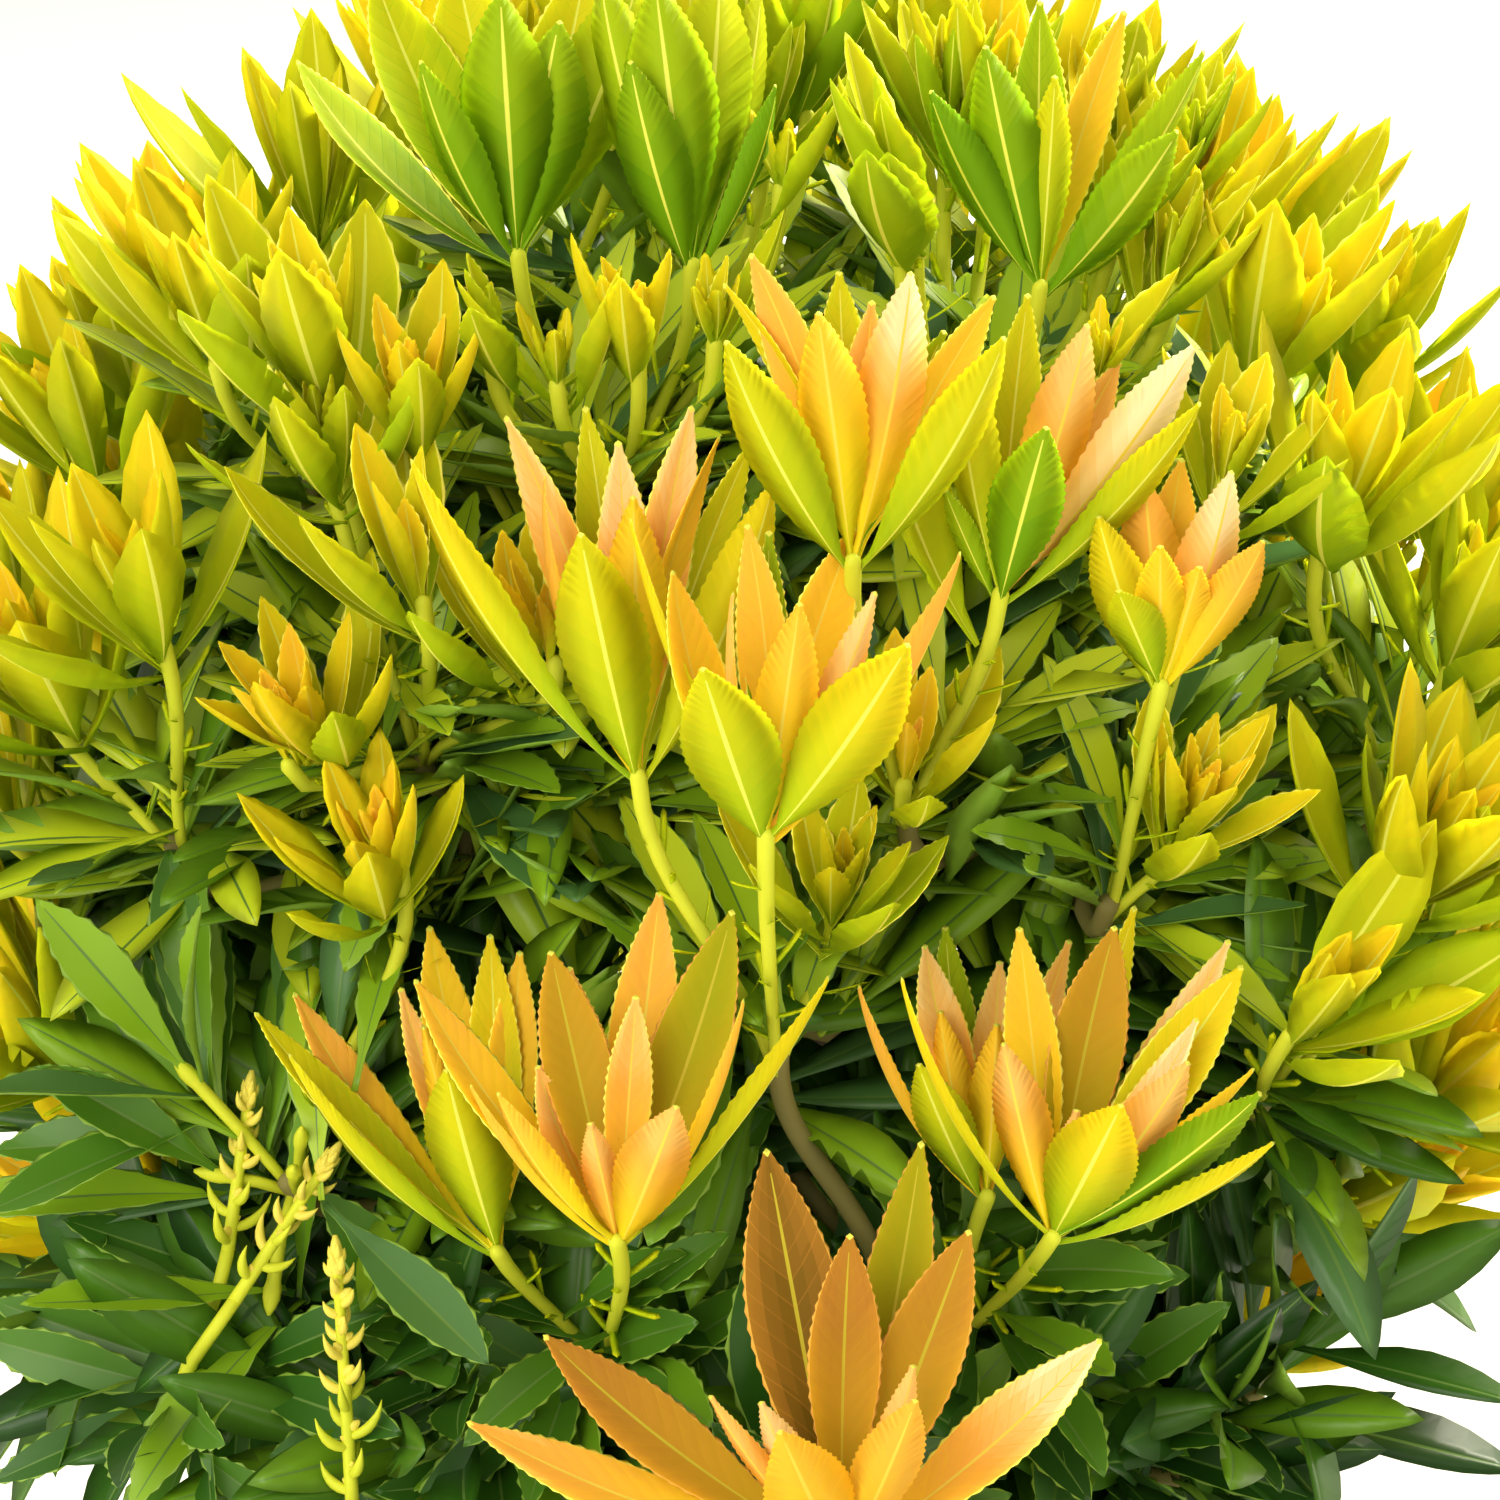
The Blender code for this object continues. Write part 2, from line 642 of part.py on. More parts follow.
def make_mass(mass, space, limbs, unit_leaf, collection, material):
    """One mass: a stem, its twigs and their leaves, joined by a union."""
    name = f"foliage_{mass['name']}"
    makings = new_collection(f"{name}_makings")
    stem, *twigs = mass_twigs(mass)
    foliage = new_object(name, twig_mesh(*stem[:4], sides=2 * TWIG_SIDES), collection, material)
    for twig in twigs:
        new_object("twig", twig_mesh(*twig[:4]), makings)
    points, clusters = space

    def allowed_near(own):
        def allowed(samples):
            return keeps_to_space(samples, points[own], points[~own]) and clear_of_limbs(samples, limbs)
        return allowed

    leaves = []
    for cluster in mass["clusters"]:
        allowed = allowed_near(clusters == cluster["number"])
        leaves += old_leaves(cluster, mass["fork"], allowed)
        for base, shoot in zip(cluster["bases"], cluster["shoots"]):
            leaves += young_leaves(base, cluster["whorl"], shoot, allowed)
    for matrix in leaves:
        if matrix is None:
            continue
        blade = unit_leaf.copy()
        blade.transform(matrix)
        if matrix.determinant() < 0:
            blade.flip_normals()
        new_object("leaf", blade, makings)
    union = foliage.modifiers.new("Join", "BOOLEAN")
    union.operation = "UNION"
    union.operand_type = "COLLECTION"
    union.collection = makings
    union.solver = "MANIFOLD"
    apply_modifiers(foliage)
    for thing in list(makings.objects):
        bpy.data.objects.remove(thing, do_unlink=True)
    bpy.data.collections.remove(makings)
    missing = sum(matrix is None for matrix in leaves)
    triangles = sum(len(face.vertices) - 2 for face in foliage.data.polygons)
    print(f"{name}: {len(leaves)} leaves, {missing} left out, {triangles} triangles")


def sampled_limb(points, radii):
    dense, thick = [], []
    for i in range(len(points) - 1):
        line = line_samples(points[i], points[i + 1])
        dense += line
        thick += [radii[i]] * len(line)
    return np.array(dense), np.array(thick)


def main():
    clear_scene()
    plant = new_collection("potted_pieris")
    cutters = new_collection("cutters")
    clay = new_material("clay", (0.60, 0.27, 0.14), 0.85)
    earth = new_material("compost", (0.06, 0.04, 0.028), 0.95)
    bark = new_material("bark", (0.22, 0.15, 0.09), 0.85)
    leaf = new_material("foliage", (0.45, 0.55, 0.07), 0.45)

    make_pot(plant, cutters, clay)
    make_compost(plant, earth)
    make_trunk(plant, bark)
    cutter = make_trunk_cutter(cutters)

    masses = lay_out_masses()
    limbs = [sampled_limb(*trunk_line())]
    for mass in masses[1:]:
        make_bough(f"bough_{mass['name']}", mass["limb"], cutter, plant, bark)
        limbs.append(sampled_limb(*mass["limb"]))

    unit_leaf = make_unit_leaf()
    space = twig_points(masses)
    for mass in masses:
        make_mass(mass, space, limbs, unit_leaf, plant, leaf)


main()
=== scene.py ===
import math
import random

import bmesh
import bpy
import numpy as np
from mathutils import Matrix, Vector
from mathutils.kdtree import KDTree


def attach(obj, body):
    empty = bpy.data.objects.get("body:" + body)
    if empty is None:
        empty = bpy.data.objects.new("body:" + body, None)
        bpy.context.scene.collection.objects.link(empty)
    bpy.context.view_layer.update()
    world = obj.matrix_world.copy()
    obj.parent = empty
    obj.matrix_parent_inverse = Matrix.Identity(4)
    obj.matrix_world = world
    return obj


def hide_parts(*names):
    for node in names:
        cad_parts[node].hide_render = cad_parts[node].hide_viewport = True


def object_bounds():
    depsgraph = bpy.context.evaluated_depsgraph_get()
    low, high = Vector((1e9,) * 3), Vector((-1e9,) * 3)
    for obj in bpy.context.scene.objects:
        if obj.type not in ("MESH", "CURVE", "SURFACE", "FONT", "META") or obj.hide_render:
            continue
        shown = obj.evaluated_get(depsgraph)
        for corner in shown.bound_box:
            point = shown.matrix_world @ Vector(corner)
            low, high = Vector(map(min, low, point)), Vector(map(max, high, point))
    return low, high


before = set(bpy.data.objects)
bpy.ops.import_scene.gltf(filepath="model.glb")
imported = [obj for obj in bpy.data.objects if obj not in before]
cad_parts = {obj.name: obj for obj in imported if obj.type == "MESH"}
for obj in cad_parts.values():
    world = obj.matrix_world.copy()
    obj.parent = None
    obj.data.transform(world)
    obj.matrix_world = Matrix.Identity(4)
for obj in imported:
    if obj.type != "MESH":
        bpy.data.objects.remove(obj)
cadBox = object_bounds()
print("frame loaded")

goldenAngle = math.radians(137.508)
aboutATurn = 6.28


def between(ends, share):
    return ends[0] + (ends[1] - ends[0]) * share


# Camera, light and floor

view = {
    "place": (0.0, -0.889, 0.734),
    "aim": (0.0, -0.1459, 0.3874),
    "lens": 101.8,
    "sensor": 36.0,
    "frame": 1500,
    "near": 0.01,
}

light = {
    "sky": (1.0, 0.955, 0.78),
    "skyStrength": 0.90,
    "lamps": {
        "sunSide": {"place": (0.85, 1.05, 1.45), "power": 61.0, "size": 0.8, "colour": (1.0, 0.94, 0.76)},
        "frontFill": {"place": (-1.1, -1.5, 1.3), "power": 22.5, "size": 1.6, "colour": (1.0, 0.97, 0.87)},
    },
    "aim": (0.0, 0.0, 0.32),
    "floorColour": (0.86, 0.86, 0.84),
    "floorRoughness": 0.9,
    "floorSize": 12.0,
}


def viewAxes():
    forward = (Vector(view["aim"]) - Vector(view["place"])).normalized()
    right = forward.cross(Vector((0, 0, 1))).normalized()
    return forward, right, right.cross(forward)


def frameStep(depth):
    # How far apart neighbouring places of the 1500-wide view are at this distance
    return view["sensor"] / view["lens"] * depth / view["frame"]


def seenPoint(across, down, depth):
    # The point that shows at this place in the view, at this distance from the camera
    forward, right, up = viewAxes()
    step, middle = frameStep(depth), view["frame"] / 2
    centre = Vector(view["place"]) + forward * depth
    return centre + right * (across - middle) * step + up * (middle - down) * step


def pointAt(thing, aim):
    towards = Vector(aim) - thing.location
    thing.rotation_euler = towards.to_track_quat("-Z", "Y").to_euler()


def addAreaLight(name, place, power, size, colour):
    lamp = bpy.data.lights.new(name, "AREA")
    lamp.shape = "DISK"
    lamp.energy = power
    lamp.size = size
    lamp.color = colour
    holder = bpy.data.objects.new(name, lamp)
    holder.location = place
    bpy.context.scene.collection.objects.link(holder)
    pointAt(holder, light["aim"])


def makeStudio():
    scene = bpy.context.scene
    camera = bpy.data.cameras.new("camera")
    camera.lens = view["lens"]
    camera.sensor_width = view["sensor"]
    camera.clip_start = view["near"]
    holder = bpy.data.objects.new("camera", camera)
    holder.location = view["place"]
    scene.collection.objects.link(holder)
    pointAt(holder, view["aim"])
    scene.camera = holder

    world = bpy.data.worlds.new("sky")
    world.use_nodes = True
    background = world.node_tree.nodes["Background"]
    background.inputs["Color"].default_value = (*light["sky"], 1.0)
    background.inputs["Strength"].default_value = light["skyStrength"]
    scene.world = world
    scene.view_settings.view_transform = "Standard"
    scene.view_settings.look = "None"
    for name, lamp in light["lamps"].items():
        addAreaLight(name, **lamp)

    half = light["floorSize"] / 2
    corners = [(-half, -half, 0), (half, -half, 0), (half, half, 0), (-half, half, 0)]
    mesh = bpy.data.meshes.new("floor")
    mesh.from_pydata(corners, [], [(0, 1, 2, 3)])
    floor = bpy.data.objects.new("floor", mesh)
    scene.collection.objects.link(floor)
    mesh.materials.append(plainMaterial("floorPaint", light["floorColour"], light["floorRoughness"]))
    print("studio made")


# Materials

leafGlow = {"radius": (1.0, 0.85, 0.35), "scale": 0.0006}
noise = {"patches": {"Detail": 6.0, "Roughness": 0.6}, "grain": {"Detail": 8.0, "Roughness": 0.65}, "bump": 0.6}


def plainMaterial(name, colour, roughness, glow=0.0, specular=0.5):
    material = bpy.data.materials.new(name)
    material.use_nodes = True
    shader = material.node_tree.nodes["Principled BSDF"]
    shader.inputs["Base Color"].default_value = (*colour, 1.0)
    shader.inputs["Roughness"].default_value = roughness
    shader.inputs["Specular IOR Level"].default_value = specular
    shader.inputs["Subsurface Weight"].default_value = glow
    shader.subsurface_method = "BURLEY"
    shader.inputs["Subsurface Radius"].default_value = leafGlow["radius"]
    shader.inputs["Subsurface Scale"].default_value = leafGlow["scale"]
    return material


def addNode(tree, kind, **inputs):
    node = tree.nodes.new(kind)
    for name, value in inputs.items():
        node.inputs[name].default_value = value
    return node


def rampNode(tree, source, stops):
    ramp = tree.nodes.new("ShaderNodeValToRGB")
    elements = ramp.color_ramp.elements
    elements[0].position, elements[0].color = stops[0][0], (*stops[0][1], 1.0)
    elements[1].position, elements[1].color = stops[-1][0], (*stops[-1][1], 1.0)
    for place, colour in stops[1:-1]:
        elements.new(place).color = (*colour, 1.0)
    tree.links.new(source, ramp.inputs["Fac"])
    return ramp.outputs["Color"]


def noisyMaterial(name, scale, stops, roughness, bumpScale, bumpDepth, stretch=(1, 1, 1)):
    # Patches of colour from broad noise, and a fine grain in relief
    material = plainMaterial(name, stops[0][1], roughness)
    tree = material.node_tree
    shader = tree.nodes["Principled BSDF"]
    place = addNode(tree, "ShaderNodeTexCoord")
    mapping = addNode(tree, "ShaderNodeMapping", Scale=stretch)
    tree.links.new(place.outputs["Object"], mapping.inputs["Vector"])
    patches = addNode(tree, "ShaderNodeTexNoise", Scale=scale, **noise["patches"])
    grain = addNode(tree, "ShaderNodeTexNoise", Scale=bumpScale, **noise["grain"])
    for node in (patches, grain):
        tree.links.new(mapping.outputs["Vector"], node.inputs["Vector"])
    tree.links.new(rampNode(tree, patches.outputs["Fac"], stops), shader.inputs["Base Color"])
    bump = addNode(tree, "ShaderNodeBump", Strength=noise["bump"], Distance=bumpDepth)
    tree.links.new(grain.outputs["Fac"], bump.inputs["Height"])
    tree.links.new(bump.outputs["Normal"], shader.inputs["Normal"])
    return material


def newPiece(name, mesh, slot, *nodes):
    piece = bpy.data.objects.new(name, mesh)
    bpy.context.scene.collection.objects.link(piece)
    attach(piece, "root")
    if nodes:
        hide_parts(*nodes)
    return piece


def meshFrom(name, points, loops, totals, slots, materials):
    mesh = bpy.data.meshes.new(name)
    mesh.vertices.add(len(points))
    mesh.vertices.foreach_set("co", np.ascontiguousarray(points, dtype=np.float32).ravel())
    mesh.loops.add(len(loops))
    mesh.loops.foreach_set("vertex_index", loops.astype(np.int32))
    mesh.polygons.add(len(totals))
    starts = np.concatenate(([0], np.cumsum(totals)[:-1]))
    mesh.polygons.foreach_set("loop_start", starts.astype(np.int32))
    mesh.polygons.foreach_set("material_index", slots.astype(np.int32))
    for material in materials:
        mesh.materials.append(material)
    mesh.update(calc_edges=True)
    mesh.validate()
    mesh.shade_smooth()
    return mesh


# Clay pot, turned again with round lips and throwing marks

pot = {
    "height": 0.175,
    "baseRadius": 0.078,
    "topRadius": 0.105,
    "wall": 0.0065,
    "floor": 0.009,
    "bandHeight": 0.034,
    "bandDepth": 0.0045,
    "bandTuck": 0.001,
    "lip": 0.00198,
    "profileStep": 0.003,
    "sides": 128,
    "markDepth": 0.00025,
    "markSpacing": 0.0062,
    "markSway": 0.35,
    "markedFrom": 0.004,
    "plainTop": 0.003,
    "drainCount": 5,
    "drainRadius": 0.0055,
    "drainRing": 0.045,
    "drainSides": 24,
    "clay": {
        "scale": 14.0, "roughness": 0.86, "bumpScale": 220.0, "bumpDepth": 0.0006,
        "stops": ((0.30, (0.40, 0.165, 0.085)), (0.52, (0.50, 0.215, 0.115)), (0.72, (0.58, 0.30, 0.19))),
    },
}


def potOuterRadius(height):
    foot, top = pot["baseRadius"], pot["topRadius"] - pot["bandDepth"]
    return foot + (top - foot) * height / pot["height"]


def curvePoint(start, bend, end, t):
    return start * (1 - t) ** 2 + bend * (2 * t * (1 - t)) + end * t ** 2


def roundedCorner(before, corner, after, radius, steps=5):
    before, corner, after = Vector(before), Vector(corner), Vector(after)
    start = corner + (before - corner).normalized() * radius
    end = corner + (after - corner).normalized() * radius
    return [curvePoint(start, corner, end, i / (steps - 1)) for i in range(steps)]


def wallPoints(start, end):
    count = max(1, int((end - start).length / pot["profileStep"]))
    return [start.lerp(end, i / count) for i in range(1, count)]


def turnedMesh(name, profile, sides, materials, wobble):
    # Turns a profile round the upright axis, with each point moved a little by wobble
    bm = bmesh.new()
    rings = []
    for radius, height in profile:
        if radius <= 0.0:
            rings.append([bm.verts.new((0, 0, height))])
            continue
        ring = []
        for i in range(sides):
            angle = 2 * math.pi * i / sides
            out, rise = wobble(radius, height, angle)
            ring.append(bm.verts.new((out * math.cos(angle), out * math.sin(angle), rise)))
        rings.append(ring)
    for low, high in zip(rings, rings[1:]):
        for i in range(sides):
            j = (i + 1) % sides
            corners = [low[i % len(low)], low[j % len(low)], high[j % len(high)], high[i % len(high)]]
            bm.faces.new(list(dict.fromkeys(corners)))
    bmesh.ops.recalc_face_normals(bm, faces=bm.faces)
    mesh = bpy.data.meshes.new(name)
    bm.to_mesh(mesh)
    bm.free()
    for material in materials:
        mesh.materials.append(material)
    mesh.shade_smooth()
    return mesh


def potProfile():
    bandFoot = pot["height"] - pot["bandHeight"]
    corners = [
        (0.0, pot["floor"]),
        (potOuterRadius(pot["floor"]) - pot["wall"], pot["floor"]),
        (potOuterRadius(pot["height"]) - pot["wall"], pot["height"]),
        (pot["topRadius"], pot["height"]),
        (pot["topRadius"] - pot["bandTuck"], bandFoot),
        (potOuterRadius(bandFoot), bandFoot - pot["bandTuck"]),
        (pot["baseRadius"], 0.0),
        (0.0, 0.0),
    ]
    points = [Vector(corners[0])]
    for before, corner, after in zip(corners, corners[1:], corners[2:]):
        bend = roundedCorner(before, corner, after, pot["lip"])
        points += wallPoints(points[-1], bend[0])
        points += bend
    points.append(Vector(corners[-1]))
    return [(point.x, point.y) for point in points]


def potWobble(radius, height, angle):
    # Throwing marks on the outer wall
    onWall = radius > potOuterRadius(height) - pot["wall"] / 2
    if not onWall or not pot["markedFrom"] < height < pot["height"] - pot["plainTop"]:
        return radius, height
    mark = math.sin(2 * math.pi * height / pot["markSpacing"] + pot["markSway"] * math.sin(angle))
    return radius - pot["markDepth"] * (1 + mark) / 2, height


def makePot():
    clay = noisyMaterial("clay", **pot["clay"])
    mesh = turnedMesh("pot", potProfile(), pot["sides"], [clay], potWobble)
    piece = newPiece("clay_pot", mesh, "clay", "pot")
    for i in range(pot["drainCount"]):
        angle = 2 * math.pi * i / pot["drainCount"]
        bpy.ops.mesh.primitive_cylinder_add(
            vertices=pot["drainSides"], radius=pot["drainRadius"], depth=3 * pot["floor"],
            location=(pot["drainRing"] * math.cos(angle), pot["drainRing"] * math.sin(angle), pot["floor"] / 2),
        )
        drill = bpy.context.object
        hole = piece.modifiers.new("drain", "BOOLEAN")
        hole.operation = "DIFFERENCE"
        hole.object = drill
        bpy.context.view_layer.update()
        shaped = bpy.data.meshes.new_from_object(piece.evaluated_get(bpy.context.evaluated_depsgraph_get()))
        piece.modifiers.clear()
        piece.data = shaped
        bpy.data.objects.remove(drill, do_unlink=True)
    print("clay pot made")


# Compost with bark chips on top

compost = {
    "level": 0.153,
    "dip": 0.003,
    "gap": 0.0006,
    "footGap": 0.003,
    "floorGap": 0.0012,
    "lumps": 0.0016,
    "edgeCalm": 0.004,
    "stemCalm": (0.018, 0.010),
    "sides": 128,
    "rings": 44,
    "chips": 420,
    "chipSize": (0.003, 0.010),
    "chipShape": ((1.0, 0.25), (0.55, 0.15), (0.30, 0.08)),
    "chipSpread": (0.06, 0.93),
    "chipLift": 0.12,
    "chipTilt": 0.5,
    "seed": 11,
    "soil": {
        "scale": 90.0, "roughness": 0.95, "bumpScale": 600.0, "bumpDepth": 0.0012,
        "stops": ((0.35, (0.018, 0.011, 0.007)), (0.55, (0.045, 0.028, 0.018)), (0.75, (0.10, 0.066, 0.042))),
    },
    "chip": {
        "scale": 60.0, "roughness": 0.85, "bumpScale": 500.0, "bumpDepth": 0.0005,
        "stops": ((0.30, (0.055, 0.028, 0.016)), (0.55, (0.13, 0.07, 0.04)), (0.80, (0.24, 0.15, 0.09))),
    },
}


def lumpAt(x, y):
    # Uneven ground from crossing waves
    waves = math.sin(x * 410 + 2.1 * math.sin(y * 230)) * math.sin(y * 370 + 1.7 * math.sin(x * 190))
    return 0.5 * waves + 0.5 * math.sin(x * 930 + 1.3) * math.sin(y * 870 + 0.4)


def compostTop(radius, wall):
    share = radius / wall
    return compost["level"] - compost["dip"] * share * share


def compostWobble(wall):
    # Lumps on top that fade out at the pot's wall and round the stem
    def wobble(radius, height, angle):
        if height < compost["level"] - 2 * compost["dip"]:
            return radius, height
        start, reach = compost["stemCalm"]
        edge = min(1.0, (wall - radius) / compost["edgeCalm"])
        calm = min(1.0, max(0.0, (radius - start) / reach))
        lump = lumpAt(radius * math.cos(angle), radius * math.sin(angle))
        return radius, height + compost["lumps"] * lump * edge * calm
    return wobble


def makeCompost():
    wall = potOuterRadius(compost["level"]) - pot["wall"] - compost["gap"]
    foot = potOuterRadius(pot["floor"]) - pot["wall"] - compost["footGap"]
    floor = pot["floor"] + compost["floorGap"]
    soil = noisyMaterial("compost", **compost["soil"])
    chip = noisyMaterial("barkChips", **compost["chip"])
    radii = [wall * i / compost["rings"] for i in range(compost["rings"] + 1)]
    profile = [(radius, compostTop(radius, wall)) for radius in radii] + [(foot, floor), (0.0, floor)]
    mesh = turnedMesh("compost", profile, compost["sides"], [soil, chip], compostWobble(wall))
    bm = bmesh.new()
    bm.from_mesh(mesh)
    chance = random.Random(compost["seed"])
    for _ in range(compost["chips"]):
        size = chance.uniform(*compost["chipSize"])
        radius = math.sqrt(chance.uniform(*compost["chipSpread"])) * wall
        angle = chance.uniform(0, 2 * math.pi)
        lift = compostTop(radius, wall) + size * compost["chipLift"]
        made = bmesh.ops.create_icosphere(bm, subdivisions=1, radius=size / 2)
        for vert in made["verts"]:
            for i, (share, spread) in enumerate(compost["chipShape"]):
                vert.co[i] *= share + chance.uniform(-spread, spread)
        spin = Matrix.Rotation(chance.uniform(0, aboutATurn), 4, "Z")
        tilt = Matrix.Rotation(chance.uniform(-compost["chipTilt"], compost["chipTilt"]), 4, "X")
        place = Matrix.Translation((radius * math.cos(angle), radius * math.sin(angle), lift))
        bmesh.ops.transform(bm, verts=made["verts"], matrix=place @ (spin @ tilt))
        for face in {face for vert in made["verts"] for face in vert.link_faces}:
            face.material_index = 1
    bm.to_mesh(mesh)
    bm.free()
    newPiece("compost_and_chips", mesh, "compost", "compost")
    print("compost made")


# Trunk and boughs with their bark

trunk = {
    "footRadius": 0.0125,
    "flare": 0.008,
    "flareShare": 0.055,
    "sway": 0.004,
    "swayTurn": math.radians(288.0),
    "tipRadius": 0.0048,
    "top": 0.325,
    "lean": (0.010, 0.006),
    "points": 12,
    "uprightPoints": 2,
    "foot": 0.1533,
    "taper": 0.8,
    "bark": 0.0011,
    "barkStep": 0.0012,
    "sides": 56,
    "finish": {
        "scale": 34.0, "roughness": 0.88, "bumpScale": 420.0, "bumpDepth": 0.0009, "stretch": (1, 1, 0.22),
        "stops": ((0.28, (0.060, 0.038, 0.024)), (0.50, (0.140, 0.095, 0.060)), (0.72, (0.260, 0.200, 0.140))),
    },
}

boughs = {
    "baseRadius": 0.0044,
    "tipRadius": 0.0026,
    "points": 6,
    "reach": 0.50,
    "bend": (0.55, 0.30),
    "forkReach": 0.72,
    "topForkReach": 0.45,
    "lowest": 0.186,
    "highest": 0.302,
    "bark": 0.0004,
    "barkStep": 0.0016,
    "sides": 22,
}


def trunkLine():
    points, radii = [], []
    for i in range(trunk["points"]):
        t = i / (trunk["points"] - 1)
        sway = math.sin(t * trunk["swayTurn"]) * trunk["sway"]
        lean = 0.0 if i < trunk["uprightPoints"] else t
        across = (trunk["lean"][0] + sway) * lean
        away = (trunk["lean"][1] - sway) * lean
        points.append(Vector((across, away, trunk["foot"] + (trunk["top"] - trunk["foot"]) * t)))
        flare = trunk["flare"] * math.exp(-t / trunk["flareShare"])
        taper = (trunk["tipRadius"] - trunk["footRadius"]) * t ** trunk["taper"]
        radii.append(trunk["footRadius"] + taper + flare)
    return points, radii


def trunkAt(height):
    points, _ = trunkLine()
    for low, high in zip(points, points[1:]):
        if high.z >= height:
            return low.lerp(high, (height - low.z) / (high.z - low.z))
    return points[-1]


def boughLine(tip, rootHeight):
    root = trunkAt(rootHeight)
    bend = root.lerp(tip, boughs["bend"][0])
    bend.z = root.z + boughs["bend"][1] * (tip.z - root.z)
    points, radii = [], []
    for i in range(boughs["points"]):
        t = i / (boughs["points"] - 1)
        points.append(curvePoint(root, bend, tip, t))
        taper = (boughs["tipRadius"] - boughs["baseRadius"]) * t ** trunk["taper"]
        radii.append(boughs["baseRadius"] + taper)
    return points, radii


def smoothLine(points, radii, spacing):
    # Catmull-Rom through the limb's own points
    fine, thick = [], []
    last = len(points) - 1
    for i in range(last):
        before, start = points[max(i - 1, 0)], points[i]
        end, after = points[i + 1], points[min(i + 2, last)]
        count = max(2, int((end - start).length / spacing))
        for j in range(count):
            t = j / count
            fine.append(0.5 * (
                2 * start + (end - before) * t + (2 * before - 5 * start + 4 * end - after) * t * t
                + (3 * start - before - 3 * end + after) * t ** 3
            ))
            thick.append(radii[i] + (radii[i + 1] - radii[i]) * t)
    return fine + [points[-1]], thick + [radii[-1]]


def tubeArrays(points, radii, sides, relief=None):
    # Rings round a line, turned along with it, and closed at both ends
    verts, loops = [], []
    side = (points[1] - points[0]).normalized().orthogonal().normalized()
    length = 0.0
    for i, (point, radius) in enumerate(zip(points, radii)):
        along = (points[min(i + 1, len(points) - 1)] - points[max(i - 1, 0)]).normalized()
        side = (side - along * side.dot(along)).normalized()
        other = along.cross(side)
        if i:
            length += (point - points[i - 1]).length
        for j in range(sides):
            angle = 2 * math.pi * j / sides
            out = radius if relief is None else radius + relief(angle, length)
            verts.append(point + (side * math.cos(angle) + other * math.sin(angle)) * out)
    for i in range(len(points) - 1):
        for j in range(sides):
            k = (j + 1) % sides
            loops += [i * sides + j, i * sides + k, (i + 1) * sides + k, (i + 1) * sides + j]
    last = (len(points) - 1) * sides
    loops += [*range(sides - 1, -1, -1), *range(last, last + sides)]
    return np.array(verts), np.array(loops), np.array([4] * last + [sides, sides])


def barkRelief(depth):
    # Long shreds that run up the limb, parted by furrows, from waves round the limb and along it
    def relief(angle, length):
        twist = angle + length * 5.0
        strips = math.sin(twist * 9 + 2.0 * math.sin(length * 140 + 3 * math.sin(twist * 2)))
        flakes = math.sin(twist * 5 + 1.3) * math.sin(length * 210 + 2.2 * math.sin(twist * 3))
        return depth * (0.55 * (abs(strips) ** 0.5 - 1.0) + 0.3 * (flakes - 1.0) * 0.5)
    return relief


def makeBark(name, line, settings, material, *nodes):
    points, radii = smoothLine(*line, settings["barkStep"])
    verts, loops, totals = tubeArrays(points, radii, settings["sides"], barkRelief(settings["bark"]))
    mesh = meshFrom(name, verts, loops, totals, np.zeros(len(totals)), [material])
    newPiece(name, mesh, "bark", *nodes)


# Where the shoots stand, by the rule of the part's source

crown = {
    "middle": 0.300,
    "heart": 0.275,
    "radius": 0.172,
    "rise": 0.165,
    "drop": 0.150,
    "hem": 0.216,
    "clusters": 33,
    "spacing": 0.048,
    "rings": (("top", 1, 90.0, 0.0), ("upper", 4, 38.0, 45.0), ("lower", 7, -12.0, 12.0)),
    "topTilt": 12.0,
    "hemTilt": 45.0,
    "fillPoints": 190,
    "fillTurn": 0.7,
    "fillSpacing": 0.0330,
    "fillSeenSpacing": 0.054,
    "fillDrop": 0.006,
    "fillHem": 0.196,
    "spikeRoom": 0.046,
    "spikeMiddle": 0.4,
    "quiet": ((0.068, -0.129, 0.221), (0.071, -0.138, 0.236), (-0.080, -0.142, 0.341)),
    "quietRoom": 0.010,
    "quietHem": (0.122, -0.085, 0.250),
    "shootDrop": 0.030,
    "whorlPlaces": {0: (778, 1062, 0.862)},
    "twigPlaces": {0: (868, 1240, 0.888)},
    "backShoots": (
        (335, 500, 0.870), (425, 455, 0.868), (495, 400, 0.872), (560, 425, 0.868), (640, 400, 0.868),
        (715, 385, 0.870), (780, 230, 0.885), (915, 235, 0.880), (1090, 420, 0.872), (1215, 520, 0.872),
        (560, 700, 0.868), (1110, 265, 0.905), (1165, 330, 0.900), (765, 175, 0.915), (945, 165, 0.915),
        (1180, 215, 0.915), (900, 820, 0.862), (300, 800, 0.880), (410, 900, 0.880), (840, 930, 0.880),
        (1180, 860, 0.878),
    ),
    "backScale": 0.72,
    "frontHem": (
        (130, 1300, 0.940), (215, 1380, 0.925), (300, 1400, 0.905), (385, 1450, 0.900), (470, 1440, 0.905),
        (560, 1490, 0.900), (700, 1500, 0.905), (1000, 1450, 0.900), (1110, 1470, 0.905), (1210, 1420, 0.910),
        (1290, 1340, 0.925), (600, 965, 0.930), (1225, 1275, 0.935), (1262, 1392, 0.930), (1180, 1480, 0.915),
    ),
    "innerPoints": 84,
    "innerTurn": 1.9,
    "innerShare": 0.60,
    "hemTwigs": 18,
    "hemPlace": (0.122, 0.206),
    "hemStep": 0.006,
}

